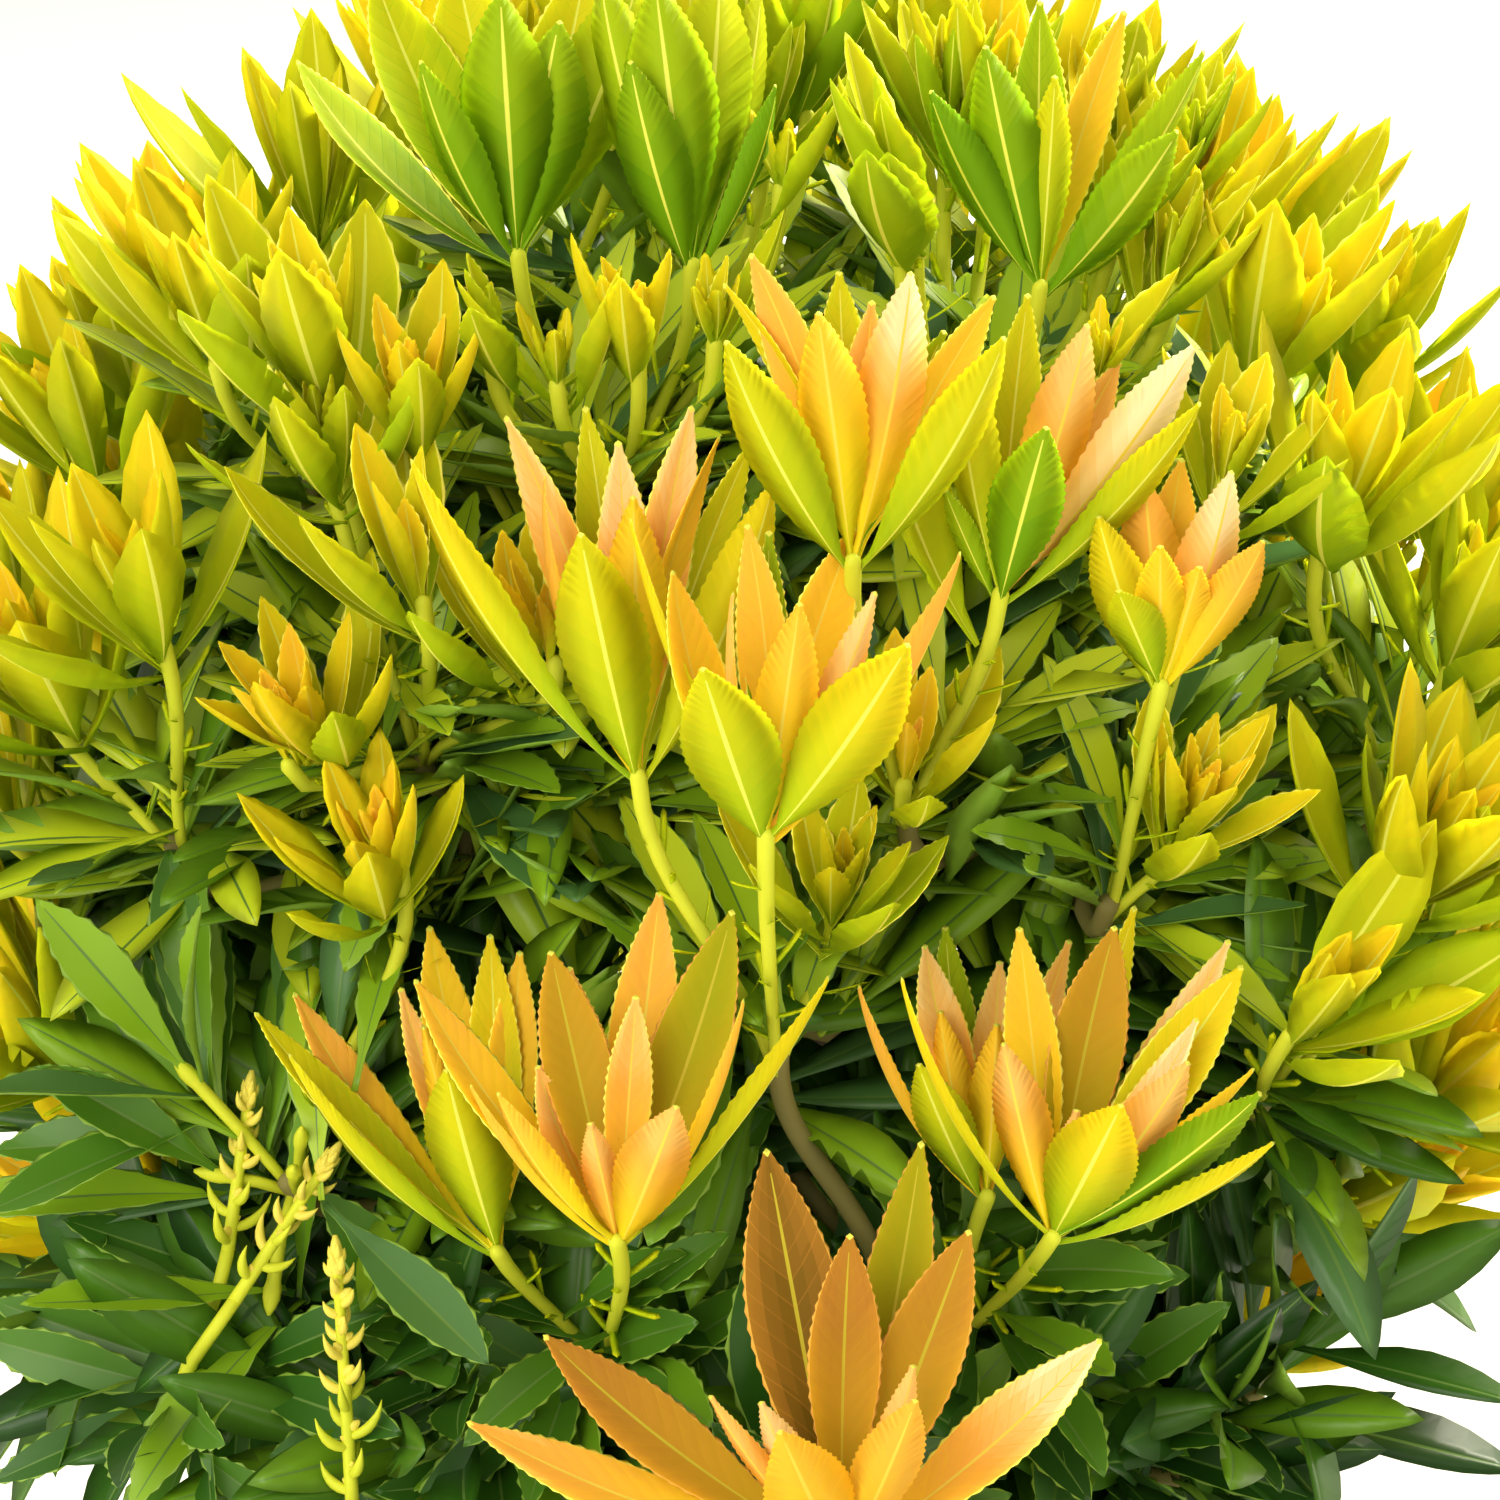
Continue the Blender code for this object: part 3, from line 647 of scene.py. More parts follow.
shoots = {
    "length": 0.040,
    "seenLength": 0.054,
    "spread": 0.028,
    "tip": 0.009,
    "seenTip": 0.003,
    "forkRadius": 0.0036,
    "twigRadius": 0.0019,
    "twigSwell": 1.25,
    "whorlRadius": 0.0023,
    "radius": 0.0016,
    "footShare": 0.75,
    "leave": (0.6, 0.4),
    "bend": 0.42,
    "topRadius": 0.0018,
    "nodeDepth": 0.0020,
    "nodeOffset": 0.0012,
    "knob": ((0.0018, 0.0024), (0.0032, 0.0011)),
    "roundTip": ((0.0012, 0.78), (0.0019, 0.30)),
    "bud": ((0.0018, 1.25), (0.0038, 1.20), (0.0058, 0.80), (0.0074, 0.25)),
    "restShare": 0.6,
    "stemOverlap": 0.0007,
    "innerFrom": 0.4,
    "oldTwigPlaces": (0.30, 0.62, 0.95),
    "sides": 9,
    "step": 0.006,
    "shownStep": 0.4,
}

# The rosettes that the front shows, by the places where they start
seenClusters = (
    ((0.003, -0.155, 0.371), (-0.022, -0.131, 0.372)),
    ((0.020, -0.122, 0.414), (0.050, -0.105, 0.400)),
    ((-0.026, -0.170, 0.290), (-0.051, -0.145, 0.272)),
    ((0.060, -0.160, 0.285), (0.048, -0.140, 0.282)),
    ((0.018, -0.200, 0.237),),
    ((0.060, -0.051, 0.446), (0.031, -0.047, 0.456)),
    ((0.082, -0.112, 0.383),),
    ((-0.048, -0.048, 0.452), (-0.012, -0.051, 0.451)),
    ((-0.086, -0.069, 0.426), (-0.065, -0.099, 0.390)),
)

# The flower spikes: foot across and down, tip across and down in the same view, and distance from it.
# Each stalk starts at the place in the second list.
seenSpikes = ((352, 1500, 335, 1235, 0.870), (235, 1300, 341, 1142, 0.885), (228, 1250, 252, 1070, 0.895))
spikeNodes = ((365, 1600, 0.880), (195, 1405, 0.905), (195, 1405, 0.905))

# The seen rosettes leaf by leaf, by their cluster and place in seenClusters. Each leaf: where its tip shows
# across and down in the 1500-wide view, how far the tip comes forward (mm), its width (mm), the turn of its
# upper face (0 towards the viewer, 180 away), and its tone at the foot and at the tip. Tones run from lime
# at 0 to pale pink at 1, and from 2 to 3 they run from olive through bronze to brown.
seenRosettes = {
    (0, 0): (
        (702, 667, 26, 19.5, 170, 0.18, 0.31), (909, 643, 16, 18.5, 195, 0.20, 0.42),
        (800, 602, 10, 13.0, 180, 0.36, 0.66), (961, 551, -4, 13.0, 245, 0.52, 0.80),
        (876, 591, 2, 9.0, 205, 0.70, 0.95), (855, 526, -14, 15.0, 20, 0.38, 0.60),
        (747, 523, -10, 12.0, 335, 0.45, 0.66), (672, 570, 4, 16.0, 50, 0.30, 0.58),
        (630, 518, -6, 11.0, 95, 0.22, 0.42), (733, 591, 4, 7.0, 110, 0.60, 0.85),
        (769, 530, -16, 9.0, 0, 0.05, 0.12),
    ),
    (0, 1): (
        (580, 532, 20, 19.5, 176, 0.19, 0.33), (410, 458, 6, 16.0, 118, 0.12, 0.42),
        (633, 495, 2, 14.0, 185, 0.30, 0.55), (773, 480, 0, 15.0, 212, 0.26, 0.42),
        (505, 415, -10, 13.0, 335, 0.44, 0.88), (545, 475, -2, 11.0, 100, 0.50, 0.78),
        (585, 405, -18, 13.0, 0, 0.16, 0.28), (618, 440, -6, 13.0, 0, 0.58, 0.91),
        (692, 405, -8, 13.0, 30, 0.60, 0.90), (720, 435, -2, 10.0, 60, 0.40, 0.60),
        (752, 440, -14, 12.0, 20, 0.18, 0.30),
    ),
    (1, 0): (
        (725, 340, 12, 16.5, 150, 0.18, 0.32), (818, 311, 8, 15.0, 178, 0.32, 0.64),
        (911, 271, -2, 15.0, 202, 0.42, 0.98), (1005, 336, 10, 15.5, 215, 0.18, 0.34),
        (995, 295, -8, 12.0, 30, 0.40, 0.60), (750, 253, -10, 13.0, 325, 0.50, 0.74),
        (839, 270, -16, 12.0, 0, 0.18, 0.28), (723, 283, -12, 8.0, 300, 0.26, 0.38),
        (945, 330, -12, 11.0, 20, 0.02, 0.10), (872, 300, -10, 12.0, 0, 0.50, 0.80),
    ),
    (1, 1): (
        (1047, 426, 24, 16.0, 175, 0.00, 0.10), (1088, 323, -2, 14.0, 190, 0.44, 0.92),
        # The first leaf on the next line has a pale tip tone that is partly its own pale pink and partly a
        # painted highlight where it catches the glare of the lamp
        (1196, 343, -2, 14.0, 205, 0.86, 1.04), (1201, 402, 8, 12.0, 222, 0.14, 0.34),
        (1028, 293, -12, 12.0, 10, 0.14, 0.30), (960, 330, -8, 13.0, 150, 0.22, 0.40),
        (945, 490, 4, 6.0, 150, 0.10, 0.16), (1120, 360, -12, 12.0, 10, 0.50, 0.80),
    ),
    (2, 0): (
        (677, 1105, 24, 15.5, 186, 0.44, 0.86), (590, 1122, 12, 8.0, 180, 0.66, 0.88),
        (497, 1092, 12, 9.5, 140, 0.38, 0.68), (470, 1084, 4, 9.0, 110, 0.42, 0.72),
        (414, 979, 0, 13.5, 40, 0.32, 0.64), (550, 950, -8, 15.0, 5, 2.30, 2.44),
        (537, 1065, 0, 10.0, 30, 0.44, 0.84), (636, 995, -2, 10.5, 0, 0.50, 0.84),
        (733, 909, -8, 17.0, 345, 2.32, 2.04), (744, 998, 6, 9.0, 250, 0.36, 0.72),
        (660, 890, -18, 15.0, 0, 0.36, 0.74), (569, 966, -14, 12.0, 10, 0.44, 0.80),
        (830, 975, -2, 10.0, 240, 0.20, 0.42),
    ),
    (2, 1): (
        (446, 1068, 22, 19.0, 172, 0.19, 0.33), (254, 1012, 0, 12.5, 50, 0.18, 0.32),
        (293, 992, -8, 12.5, 40, 0.28, 0.74), (288, 1053, 6, 11.5, 120, 0.14, 0.36),
        (423, 1025, 4, 8.0, 160, 0.36, 0.60), (400, 987, -6, 8.5, 20, 0.48, 0.84),
        (429, 925, -14, 13.0, 10, 0.45, 0.52), (490, 933, -16, 12.0, 0, 0.20, 0.42),
        (520, 950, -18, 12.0, 0, 0.40, 0.60),
    ),
    (3, 0): (
        (1122, 1104, 24, 18.5, 178, 0.14, 0.46), (1189, 1061, 10, 13.0, 202, 0.46, 0.88),
        (1115, 925, -8, 16.5, 5, 2.02, 2.50), (1019, 926, -6, 12.0, 350, 0.32, 0.60),
        (1003, 1042, 12, 12.5, 168, 0.42, 0.86), (901, 976, 14, 8.0, 100, 0.28, 0.46),
        (1198, 1018, -2, 10.0, 320, 0.66, 0.94), (1243, 965, -8, 14.5, 345, 0.26, 0.42),
        (1230, 939, -18, 11.0, 340, 0.70, 0.90), (1135, 905, -22, 9.0, 0, 0.28, 0.38),
        (1255, 1068, 4, 9.0, 232, 0.34, 0.55), (1262, 1092, 8, 12.0, 200, 0.00, 0.10),
        (1275, 1142, 12, 9.0, 232, 0.14, 0.40), (1077, 1109, 8, 6.5, 180, 0.80, 0.90),
    ),
    (3, 1): (
        (918, 1063, 16, 12.5, 160, 0.14, 0.32), (997, 1023, 8, 10.5, 180, 0.30, 0.62),
        (924, 944, -4, 12.0, 20, 0.55, 0.88), (945, 925, -12, 10.5, 10, 0.04, 0.16),
        (858, 984, 4, 7.0, 110, 0.50, 0.75), (1070, 939, -16, 8.0, 0, 0.60, 0.80),
        (940, 1010, 0, 9.0, 150, 0.48, 0.60), (1000, 960, -14, 11.0, 0, 0.60, 0.85),
    ),
    (4, 0): (
        (766, 1148, -6, 21.0, 0, 3.00, 2.92), (850, 1233, 2, 16.0, 5, 2.24, 2.72),
        (922, 1140, -14, 15.5, 350, 2.22, 2.10), (970, 1229, -2, 18.0, 350, 2.20, 2.62),
        (543, 1335, 4, 16.0, 30, 2.34, 2.68), (466, 1422, 10, 14.0, 40, 0.42, 0.76),
        (1102, 1339, 4, 15.5, 330, 0.56, 0.94), (779, 1430, 30, 18.0, 180, 0.50, 0.66),
        (916, 1399, 22, 14.0, 190, 0.56, 0.74), (914, 1364, 10, 8.5, 200, 0.66, 0.91),
        (760, 1401, 12, 9.5, 170, 0.74, 0.94), (709, 1395, 8, 6.5, 150, 0.66, 0.86),
        (655, 1665, 34, 16.0, 150, 0.46, 0.70), (770, 1735, 44, 17.0, 170, 0.40, 0.62),
        (905, 1745, 45, 16.5, 185, 0.44, 0.66), (1025, 1670, 36, 16.0, 205, 0.42, 0.62),
        (845, 1600, 40, 11.0, 180, 0.60, 0.84), (1085, 1540, 22, 13.0, 230, 0.50, 0.74),
    ),
    (5, 0): (
        (1178, 130, 8, 15.5, 208, 0.04, 0.14), (1205, 50, -4, 12.5, 230, 0.06, 0.18),
        (985, 45, 6, 16.5, 160, 0.05, 0.10), (1055, 75, 6, 10.0, 180, 0.18, 0.30),
        (1125, 10, -8, 11.5, 20, 0.40, 0.60), (930, 90, 0, 14.0, 130, 0.00, 0.05),
        (1040, 0, -12, 13.0, 0, 0.04, 0.12),
    ),
    (6, 0): (
        (1098, 515, 10, 13.0, 160, 0.24, 0.42), (1143, 474, -2, 14.0, 180, 0.40, 0.78),
        (1182, 458, -8, 13.0, 10, 0.40, 0.62), (1232, 470, 2, 14.0, 200, 0.60, 0.98),
        (1264, 540, 6, 13.0, 215, 0.44, 0.74), (1118, 590, 16, 12.0, 150, 0.14, 0.28),
        (1200, 566, 12, 12.0, 190, 0.34, 0.60), (1160, 545, 16, 11.0, 178, 0.30, 0.56),
    ),
    (7, 0): (
        (296, 60, 6, 22.0, 60, 0.04, 0.16), (372, -30, 0, 22.0, 30, 0.08, 0.22),
        (455, -38, -8, 22.0, 0, 0.12, 0.28), (560, 20, 10, 20.0, 170, 0.02, 0.12),
        (500, -10, 14, 20.0, 180, 0.03, 0.14), (640, -32, -4, 20.0, 210, 0.08, 0.24),
        (590, -52, -16, 20.0, 0, 0.14, 0.30), (420, 60, 16, 16.0, 130, 0.02, 0.10),
    ),
    (7, 1): (
        (600, -30, 4, 18.0, 150, 0.04, 0.18), (655, -20, 14, 20.0, 180, 0.03, 0.16),
        (720, -34, 0, 20.0, 190, 0.08, 0.26), (776, 84, 4, 12.0, 240, 0.00, 0.04),
        (760, -10, -6, 18.0, 220, 0.10, 0.26), (690, -50, -14, 20.0, 0, 0.14, 0.30),
        (630, 60, 18, 15.0, 160, 0.02, 0.10),
    ),
}
seenWarmth = (
    (0.5, 0.5), (0.45, 0.45), (0.75, 0.6), (0.75, 0.7), (0.95,), (0.05, 0.10), (0.65,), (0.0, 0.0),
    (0.30, 0.30),
)


def crownPoint(direction):
    rise = crown["rise"] if direction.z > 0 else crown["drop"]
    return Vector((
        crown["radius"] * direction.x, crown["radius"] * direction.y, crown["middle"] + rise * direction.z,
    ))


def crownDirection(point):
    rise = crown["rise"] if point.z > crown["middle"] else crown["drop"]
    height = (point.z - crown["middle"]) / rise
    return Vector((point.x / crown["radius"], point.y / crown["radius"], height)).normalized()


def crownShare(point):
    # How high a point is in the crown: 0 at its hem, 1 at its top
    return (point.z - crown["hem"]) / (crown["middle"] + crown["rise"] - crown["hem"])


def shootAxis(base):
    # Shoots stand upright at the top and lean out towards the hem
    outward = Vector((base.x, base.y, 0.0)) / crown["radius"]
    height = min(max(crownShare(base), 0.0), 1.0)
    lean = crown["topTilt"] + crown["hemTilt"] * (1.0 - height) ** 2
    tilt = math.radians(min(outward.length, 1.0) * lean)
    return (outward.normalized() * math.sin(tilt) + Vector((0, 0, math.cos(tilt)))).normalized()


def makeCluster(bases, seen):
    # Shoots that part from one old whorl below them
    axis = sum((shootAxis(base) for base in bases), Vector()).normalized()
    middle = sum(bases, Vector()) / len(bases)
    length = shoots["seenLength"] if seen else shoots["length"]
    return {
        "bases": bases, "axis": axis, "middle": middle, "seen": seen, "fill": [], "back": [], "inner": [],
        "whorl": middle - axis * length, "sourceWhorl": middle - axis * shoots["length"],
    }


def spiralDirection(i, count, turn=0.0, hem=crown["hem"]):
    lowest = (hem - crown["middle"]) / crown["drop"]
    level = 1.0 - (i + 0.5) / count * (1.0 - lowest)
    angle = goldenAngle * i + turn
    flat = math.sqrt(1.0 - level * level)
    return Vector((flat * math.cos(angle), flat * math.sin(angle), level)), angle


def spiralClusters(seenBases):
    clusters = []
    for i in range(crown["clusters"]):
        direction, angle = spiralDirection(i, crown["clusters"])
        middle = crownPoint(direction)
        if min((middle - base).length for base in seenBases) < crown["spacing"]:
            continue
        axis = shootAxis(middle)
        side = axis.cross(Vector((math.sin(angle), -math.cos(angle), 0.2))).normalized()
        count = 2 + i % 2
        bases = []
        for j in range(count):
            turn = Matrix.Rotation(2.0 * math.pi * j / count + i, 3, axis)
            base = middle + turn @ side * shoots["spread"]
            bases.append(crownPoint(crownDirection(base)))
        clusters.append(makeCluster(bases, False))
    return clusters


def nearestWhorl(clusters, point):
    return min(clusters, key=lambda cluster: (cluster["whorl"] - point).length)


def whorlBelow(clusters, point):
    return nearestWhorl(clusters, point - shootAxis(point) * crown["shootDrop"])


def addFillShoots(clusters):
    # More shoots where the crown is thin, each from the nearest old whorl
    bases = [base for cluster in clusters for base in cluster["bases"]]
    seenBases = [base for cluster in clusters if cluster["seen"] for base in cluster["bases"]]
    for i in range(crown["fillPoints"]):
        direction, _ = spiralDirection(i, crown["fillPoints"], crown["fillTurn"], crown["fillHem"])
        point = crownPoint(direction)
        point -= shootAxis(point) * crown["fillDrop"]
        if min((point - base).length for base in seenBases) < crown["fillSeenSpacing"]:
            continue
        if min((point - base).length for base in bases) < crown["fillSpacing"]:
            continue
        whorlBelow(clusters, point)["fill"].append(point)
        bases.append(point)


def spikeLines():
    return [(seenPoint(*spike[0:2], spike[4]), seenPoint(*spike[2:4], spike[4])) for spike in seenSpikes]


def restsHere(base):
    # Shoots beside the flower spikes and along the hem in front have no young leaves
    if min((base - Vector(place)).length for place in crown["quiet"]) < crown["quietRoom"]:
        return True
    side, front, top = crown["quietHem"]
    if abs(base.x) < side and base.y < front and base.z < top:
        return True
    middles = [foot.lerp(top, crown["spikeMiddle"]) for foot, top in spikeLines()]
    return min((base - middle).length for middle in middles) < crown["spikeRoom"]


def addBackShoots(clusters):
    # Shoots that fill the view behind the seen rosettes
    for place in crown["backShoots"]:
        point = seenPoint(*place)
        whorlBelow(clusters, point)["back"].append(point)


def addInnerTwigs(clusters):
    # Leafy side twigs inside the crown and along its hem, each from the nearest old whorl
    middle = Vector((0.0, 0.0, crown["middle"]))
    for i in range(crown["innerPoints"]):
        direction, _ = spiralDirection(i, crown["innerPoints"], crown["innerTurn"])
        point = middle.lerp(crownPoint(direction), crown["innerShare"])
        nearestWhorl(clusters, point)["inner"].append(point)
    for place in crown["frontHem"]:
        point = seenPoint(*place)
        whorlBelow(clusters, point)["inner"].append(point)
    radius, height = crown["hemPlace"]
    for i in range(crown["hemTwigs"]):
        angle = 2 * math.pi * i / crown["hemTwigs"]
        rise = height + crown["hemStep"] * (i % 3)
        point = Vector((radius * math.cos(angle), radius * math.sin(angle), rise))
        nearestWhorl(clusters, point)["inner"].append(point)


def massDirections():
    masses = []
    for ring, count, rise, turn in crown["rings"]:
        for i in range(count):
            angle = math.radians(turn + 360.0 * i / count - 90.0)
            level = math.radians(rise)
            flat = math.cos(level)
            direction = Vector((flat * math.cos(angle), flat * math.sin(angle), math.sin(level)))
            name = ring if count == 1 else f"{ring}_{i + 1}"
            masses.append({"name": name, "direction": direction, "clusters": [], "spikes": []})
    return masses


def nearestMass(masses, point):
    towards = crownDirection(point)
    return max(masses, key=lambda mass: mass["direction"].dot(towards))


def layOutMasses():
    # Deals the clusters out to the masses, and gives each mass the limb that carries it
    seen = [makeCluster([Vector(base) for base in bases], True) for bases in seenClusters]
    seenBases = [base for cluster in seen for base in cluster["bases"]]
    clusters = seen + spiralClusters(seenBases)
    masses = massDirections()
    count = 0
    for number, cluster in enumerate(clusters):
        cluster["number"] = number
        if number in crown["whorlPlaces"]:
            cluster["whorl"] = seenPoint(*crown["whorlPlaces"][number])
        cluster["shoots"] = list(range(count, count + len(cluster["bases"])))
        count += len(cluster["bases"])
        nearestMass(masses, cluster["middle"])["clusters"].append(cluster)
    addFillShoots(clusters)
    addBackShoots(clusters)
    addInnerTwigs(clusters)
    for (foot, top), place in zip(spikeLines(), spikeNodes):
        nearestMass(masses, foot)["spikes"].append((foot, top, seenPoint(*place)))
    heart = Vector((*trunk["lean"], crown["heart"]))
    for mass in masses:
        middle = sum((cluster["sourceWhorl"] for cluster in mass["clusters"]), Vector()) / len(mass["clusters"])
        mass["tip"] = heart.lerp(middle, boughs["reach"])
        mass["fork"] = heart.lerp(middle, boughs["forkReach"])
        mass["middle"] = middle
    top = masses[0]
    top["limb"] = trunkLine()
    top["tip"] = top["limb"][0][-1]
    top["fork"] = top["tip"].lerp(top["middle"], boughs["topForkReach"])
    roundStem = sorted(masses[1:], key=lambda mass: mass["tip"].z)
    for i, mass in enumerate(roundStem):
        share = i / (len(roundStem) - 1)
        mass["limb"] = boughLine(mass["tip"], between((boughs["lowest"], boughs["highest"]), share))
    return masses


# Leaf colours, dealt out by rosette, by leaf and by row along the leaf

leafColours = {
    "youngSteps": 40,
    "young": (
        (0.00, (0.165, 0.340, 0.005)),
        (0.14, (0.390, 0.510, 0.007)),
        (0.28, (0.610, 0.580, 0.008)),
        (0.44, (0.860, 0.620, 0.012)),
        (0.60, (0.930, 0.540, 0.028)),
        (0.78, (0.920, 0.430, 0.060)),
        (0.90, (0.950, 0.560, 0.160)),
        (1.00, (0.970, 0.780, 0.440)),
    ),
    "bronzeSteps": 32,
    "bronze": (
        (0.00, (0.340, 0.350, 0.006)),
        (0.25, (0.440, 0.330, 0.008)),
        (0.50, (0.540, 0.290, 0.018)),
        (0.75, (0.460, 0.200, 0.026)),
        (1.00, (0.125, 0.082, 0.004)),
    ),
    "bronzeTone": 2.0,
    # Old leaf greens from dark to light, then a greyish one; oldTone picks lighter ones higher up as painted
    # light and darker ones lower down as painted shade
    "old": (
        (0.018, 0.075, 0.007),
        (0.032, 0.120, 0.008),
        (0.070, 0.195, 0.010),
        (0.140, 0.300, 0.010),
        (0.240, 0.420, 0.012),
        (0.400, 0.580, 0.014),
        (0.580, 0.690, 0.018),
        (0.075, 0.185, 0.045),
    ),
    "oldUnder": (0.220, 0.390, 0.035),
    "youngRib": (0.780, 0.780, 0.110),
    "ripeRib": (0.860, 0.640, 0.080),
    "bronzeRib": (0.560, 0.460, 0.035),
    "oldRib": (0.120, 0.230, 0.045),
    "youngRim": (0.880, 0.800, 0.120),
    "bronzeRim": (0.700, 0.360, 0.060),
    "oldRim": (0.260, 0.430, 0.050),
    "ribEnd": {"young": 0.93, "old": 0.90},
    "toneStart": 0.08,
    "toneReach": 0.62,
    "ripeFrom": 0.50,
    "bronzeFrom": 1.5,
    "veinShift": 0.07,
    "edgeShifts": ((2.8, -0.16), (0.5, 0.08), (-1.0, -0.04)),
    "youngFinish": (0.50, 0.9, 0.06),
    "oldFinish": (0.38, 0.0, 0.4),
}


def rampColour(stops, share):
    for (low, lowColour), (high, highColour) in zip(stops, stops[1:]):
        if share <= high:
            t = (share - low) / (high - low)
            return tuple(between(ends, t) for ends in zip(lowColour, highColour))
    return stops[-1][1]


def listFinishes():
    # Every leaf colour with its roughness, glow and gloss, in the order of the material slots
    finishes = []
    for family in ("young", "bronze"):
        steps = leafColours[f"{family}Steps"]
        for i in range(steps):
            colour = rampColour(leafColours[family], i / (steps - 1))
            finishes.append((f"{family}Leaf{i + 1}", colour, leafColours["youngFinish"]))
    for i, colour in enumerate(leafColours["old"]):
        finishes.append((f"oldLeaf{i + 1}", colour, leafColours["oldFinish"]))
    for name in ("youngRib", "ripeRib", "bronzeRib", "youngRim", "bronzeRim"):
        finishes.append((name, leafColours[name], leafColours["youngFinish"]))
    for name in ("oldUnder", "oldRib", "oldRim"):
        finishes.append((name, leafColours[name], leafColours["oldFinish"]))
    return finishes


leafFinishes = listFinishes()
slotOf = {finish[0]: i for i, finish in enumerate(leafFinishes)}


def makeLeafMaterials():
    return [plainMaterial(name, colour, *finish) for name, colour, finish in leafFinishes]


# One leaf's shape: rows along its rib, each a closed ring across the blade

smoothForm = {"under": (), "tooth": 0.0, "veins": 0, "relief": 0.0, "veinHalf": 0.0}
leafForms = {
    "seen": {
        "rows": 48, "top": (-1, -0.94, -0.62, -0.31, -0.04, 0.04, 0.31, 0.62, 0.94, 1), "under": (0.05, -0.05),
        "tooth": 0.00024, "veins": 12, "relief": 0.00008, "veinHalf": 0.0020,
    },
    "near": {
        **smoothForm, "rows": 18, "top": (-1, -0.92, -0.55, -0.05, 0.05, 0.55, 0.92, 1), "under": (0.06, -0.06),
        "tooth": 0.00024, "veins": 9, "relief": 0.00008,
    },
    "plain": {
        **smoothForm, "rows": 11, "top": (-1, -0.52, -0.05, 0.05, 0.52, 1), "under": (0.06, -0.06),
        "tooth": 0.0002,
    },
    "oldNear": {
        **smoothForm, "rows": 19, "top": (-1, -0.91, -0.05, 0.05, 0.91, 1), "under": (0.06, -0.06),
        "tooth": 0.0004, "veins": 7, "relief": 0.00012,
    },
    "old": {**smoothForm, "rows": 9, "top": (-1, -0.055, 0.055, 1), "under": (0.0,)},
    "bract": {**smoothForm, "rows": 5, "top": (-1, 0, 1)},
}

leafShape = {
    "slant": 1.15,
    "petiole": 0.06,
    "petioleHalf": 0.0008,
    "thickness": 0.00055,
    "keel": 0.0004,
    "keelHalf": 0.1,
    "ribHalf": 0.056,
    "rimFrom": 0.93,
    "toothStart": 0.26,
    "toothEnd": 0.97,
    "veinStart": 0.14,
    "veinFade": 0.006,
    "lastRow": 0.995,
    "greenTip": 0.975,
    "roundness": 0.88,
    "footFold": 0.55,
    "midFold": 0.45,
    "waves": 9.0,
    "waveShift": 1.9,
}

leafVectors = ("root", "chord", "facing")
leafNumbers = (
    "width", "widest", "bulge", "fold", "twist", "wave", "phase", "old", "foot", "tip", "edge", "under",
)


def leafRows(form):
    # Places along the rib: even rows for the teeth, and a close pair for each side vein
    even = [i / form["rows"] for i in range(form["rows"])]
    if not form["veinHalf"]:
        return np.array(even), np.zeros(form["rows"], dtype=bool)
    spacing = (1.0 - leafShape["veinStart"]) / (form["veins"] + 1)
    middles = [leafShape["veinStart"] + spacing * i for i in range(form["veins"])]
    rows = [(t, False) for t in even if min(abs(t - m) for m in middles) > 2 * form["veinHalf"]]
    for m in middles:
        rows += [(m - form["veinHalf"], True), (m + form["veinHalf"], False)]
    rows.sort()
    return np.array([row[0] for row in rows]), np.array([row[1] for row in rows])


def leafTemplate(form):
    across = np.array(form["top"] + form["under"], dtype=float)
    side = np.array([1.0] * len(form["top"]) + [-1.0] * len(form["under"]))
    side[np.abs(across) == 1.0] = 0.0
    along, veinRow = leafRows(form)
    ring, rows = len(across), len(along)
    tooth = 1.0 - 4.0 * np.abs((along * form["rows"] / 2) % 1.0 - 0.5)
    swell = np.zeros(rows)
    if form["veins"]:
        spacing = (1.0 - leafShape["veinStart"]) / (form["veins"] + 1)
        swell = -np.cos(2 * np.pi * (along - leafShape["veinStart"]) / spacing) * form["relief"]
    loops, totals, faceRow, faceSegment = [], [], [], []
    for i in range(rows - 1):
        for j in range(ring):
            k = (j + 1) % ring
            loops += [i * ring + j, (i + 1) * ring + j, (i + 1) * ring + k, i * ring + k]
            totals.append(4)
            faceRow.append(i)
            faceSegment.append(j)
    base = (rows - 1) * ring
    for j in range(ring):
        loops += [base + j, rows * ring, base + (j + 1) % ring]
        totals.append(3)
        faceRow.append(rows - 1)
        faceSegment.append(j)
    loops += list(range(ring))
    totals.append(ring)
    faceRow.append(0)
    faceSegment.append(0)
    middle = np.array([(across[j] + across[(j + 1) % ring]) / 2 for j in range(ring)])
    topFace = np.array([j < len(form["top"]) - 1 for j in range(ring)])
    ribFace = np.abs(middle) < leafShape["ribHalf"]
    if len(form["under"]) < 2:
        ribFace &= topFace
    if len(form["top"]) == 3:
        ribFace[:] = False
    return {
        "across": across, "side": side, "along": along, "form": form,
        "loops": np.array(loops), "totals": np.array(totals),
        "faceRow": np.array(faceRow), "faceSegment": np.array(faceSegment),
        "middle": middle, "topFace": topFace, "ribFace": ribFace,
        "rimFace": topFace & (np.abs(middle) > leafShape["rimFrom"]),
        "tooth": tooth, "swell": swell, "veinRow": veinRow,
    }


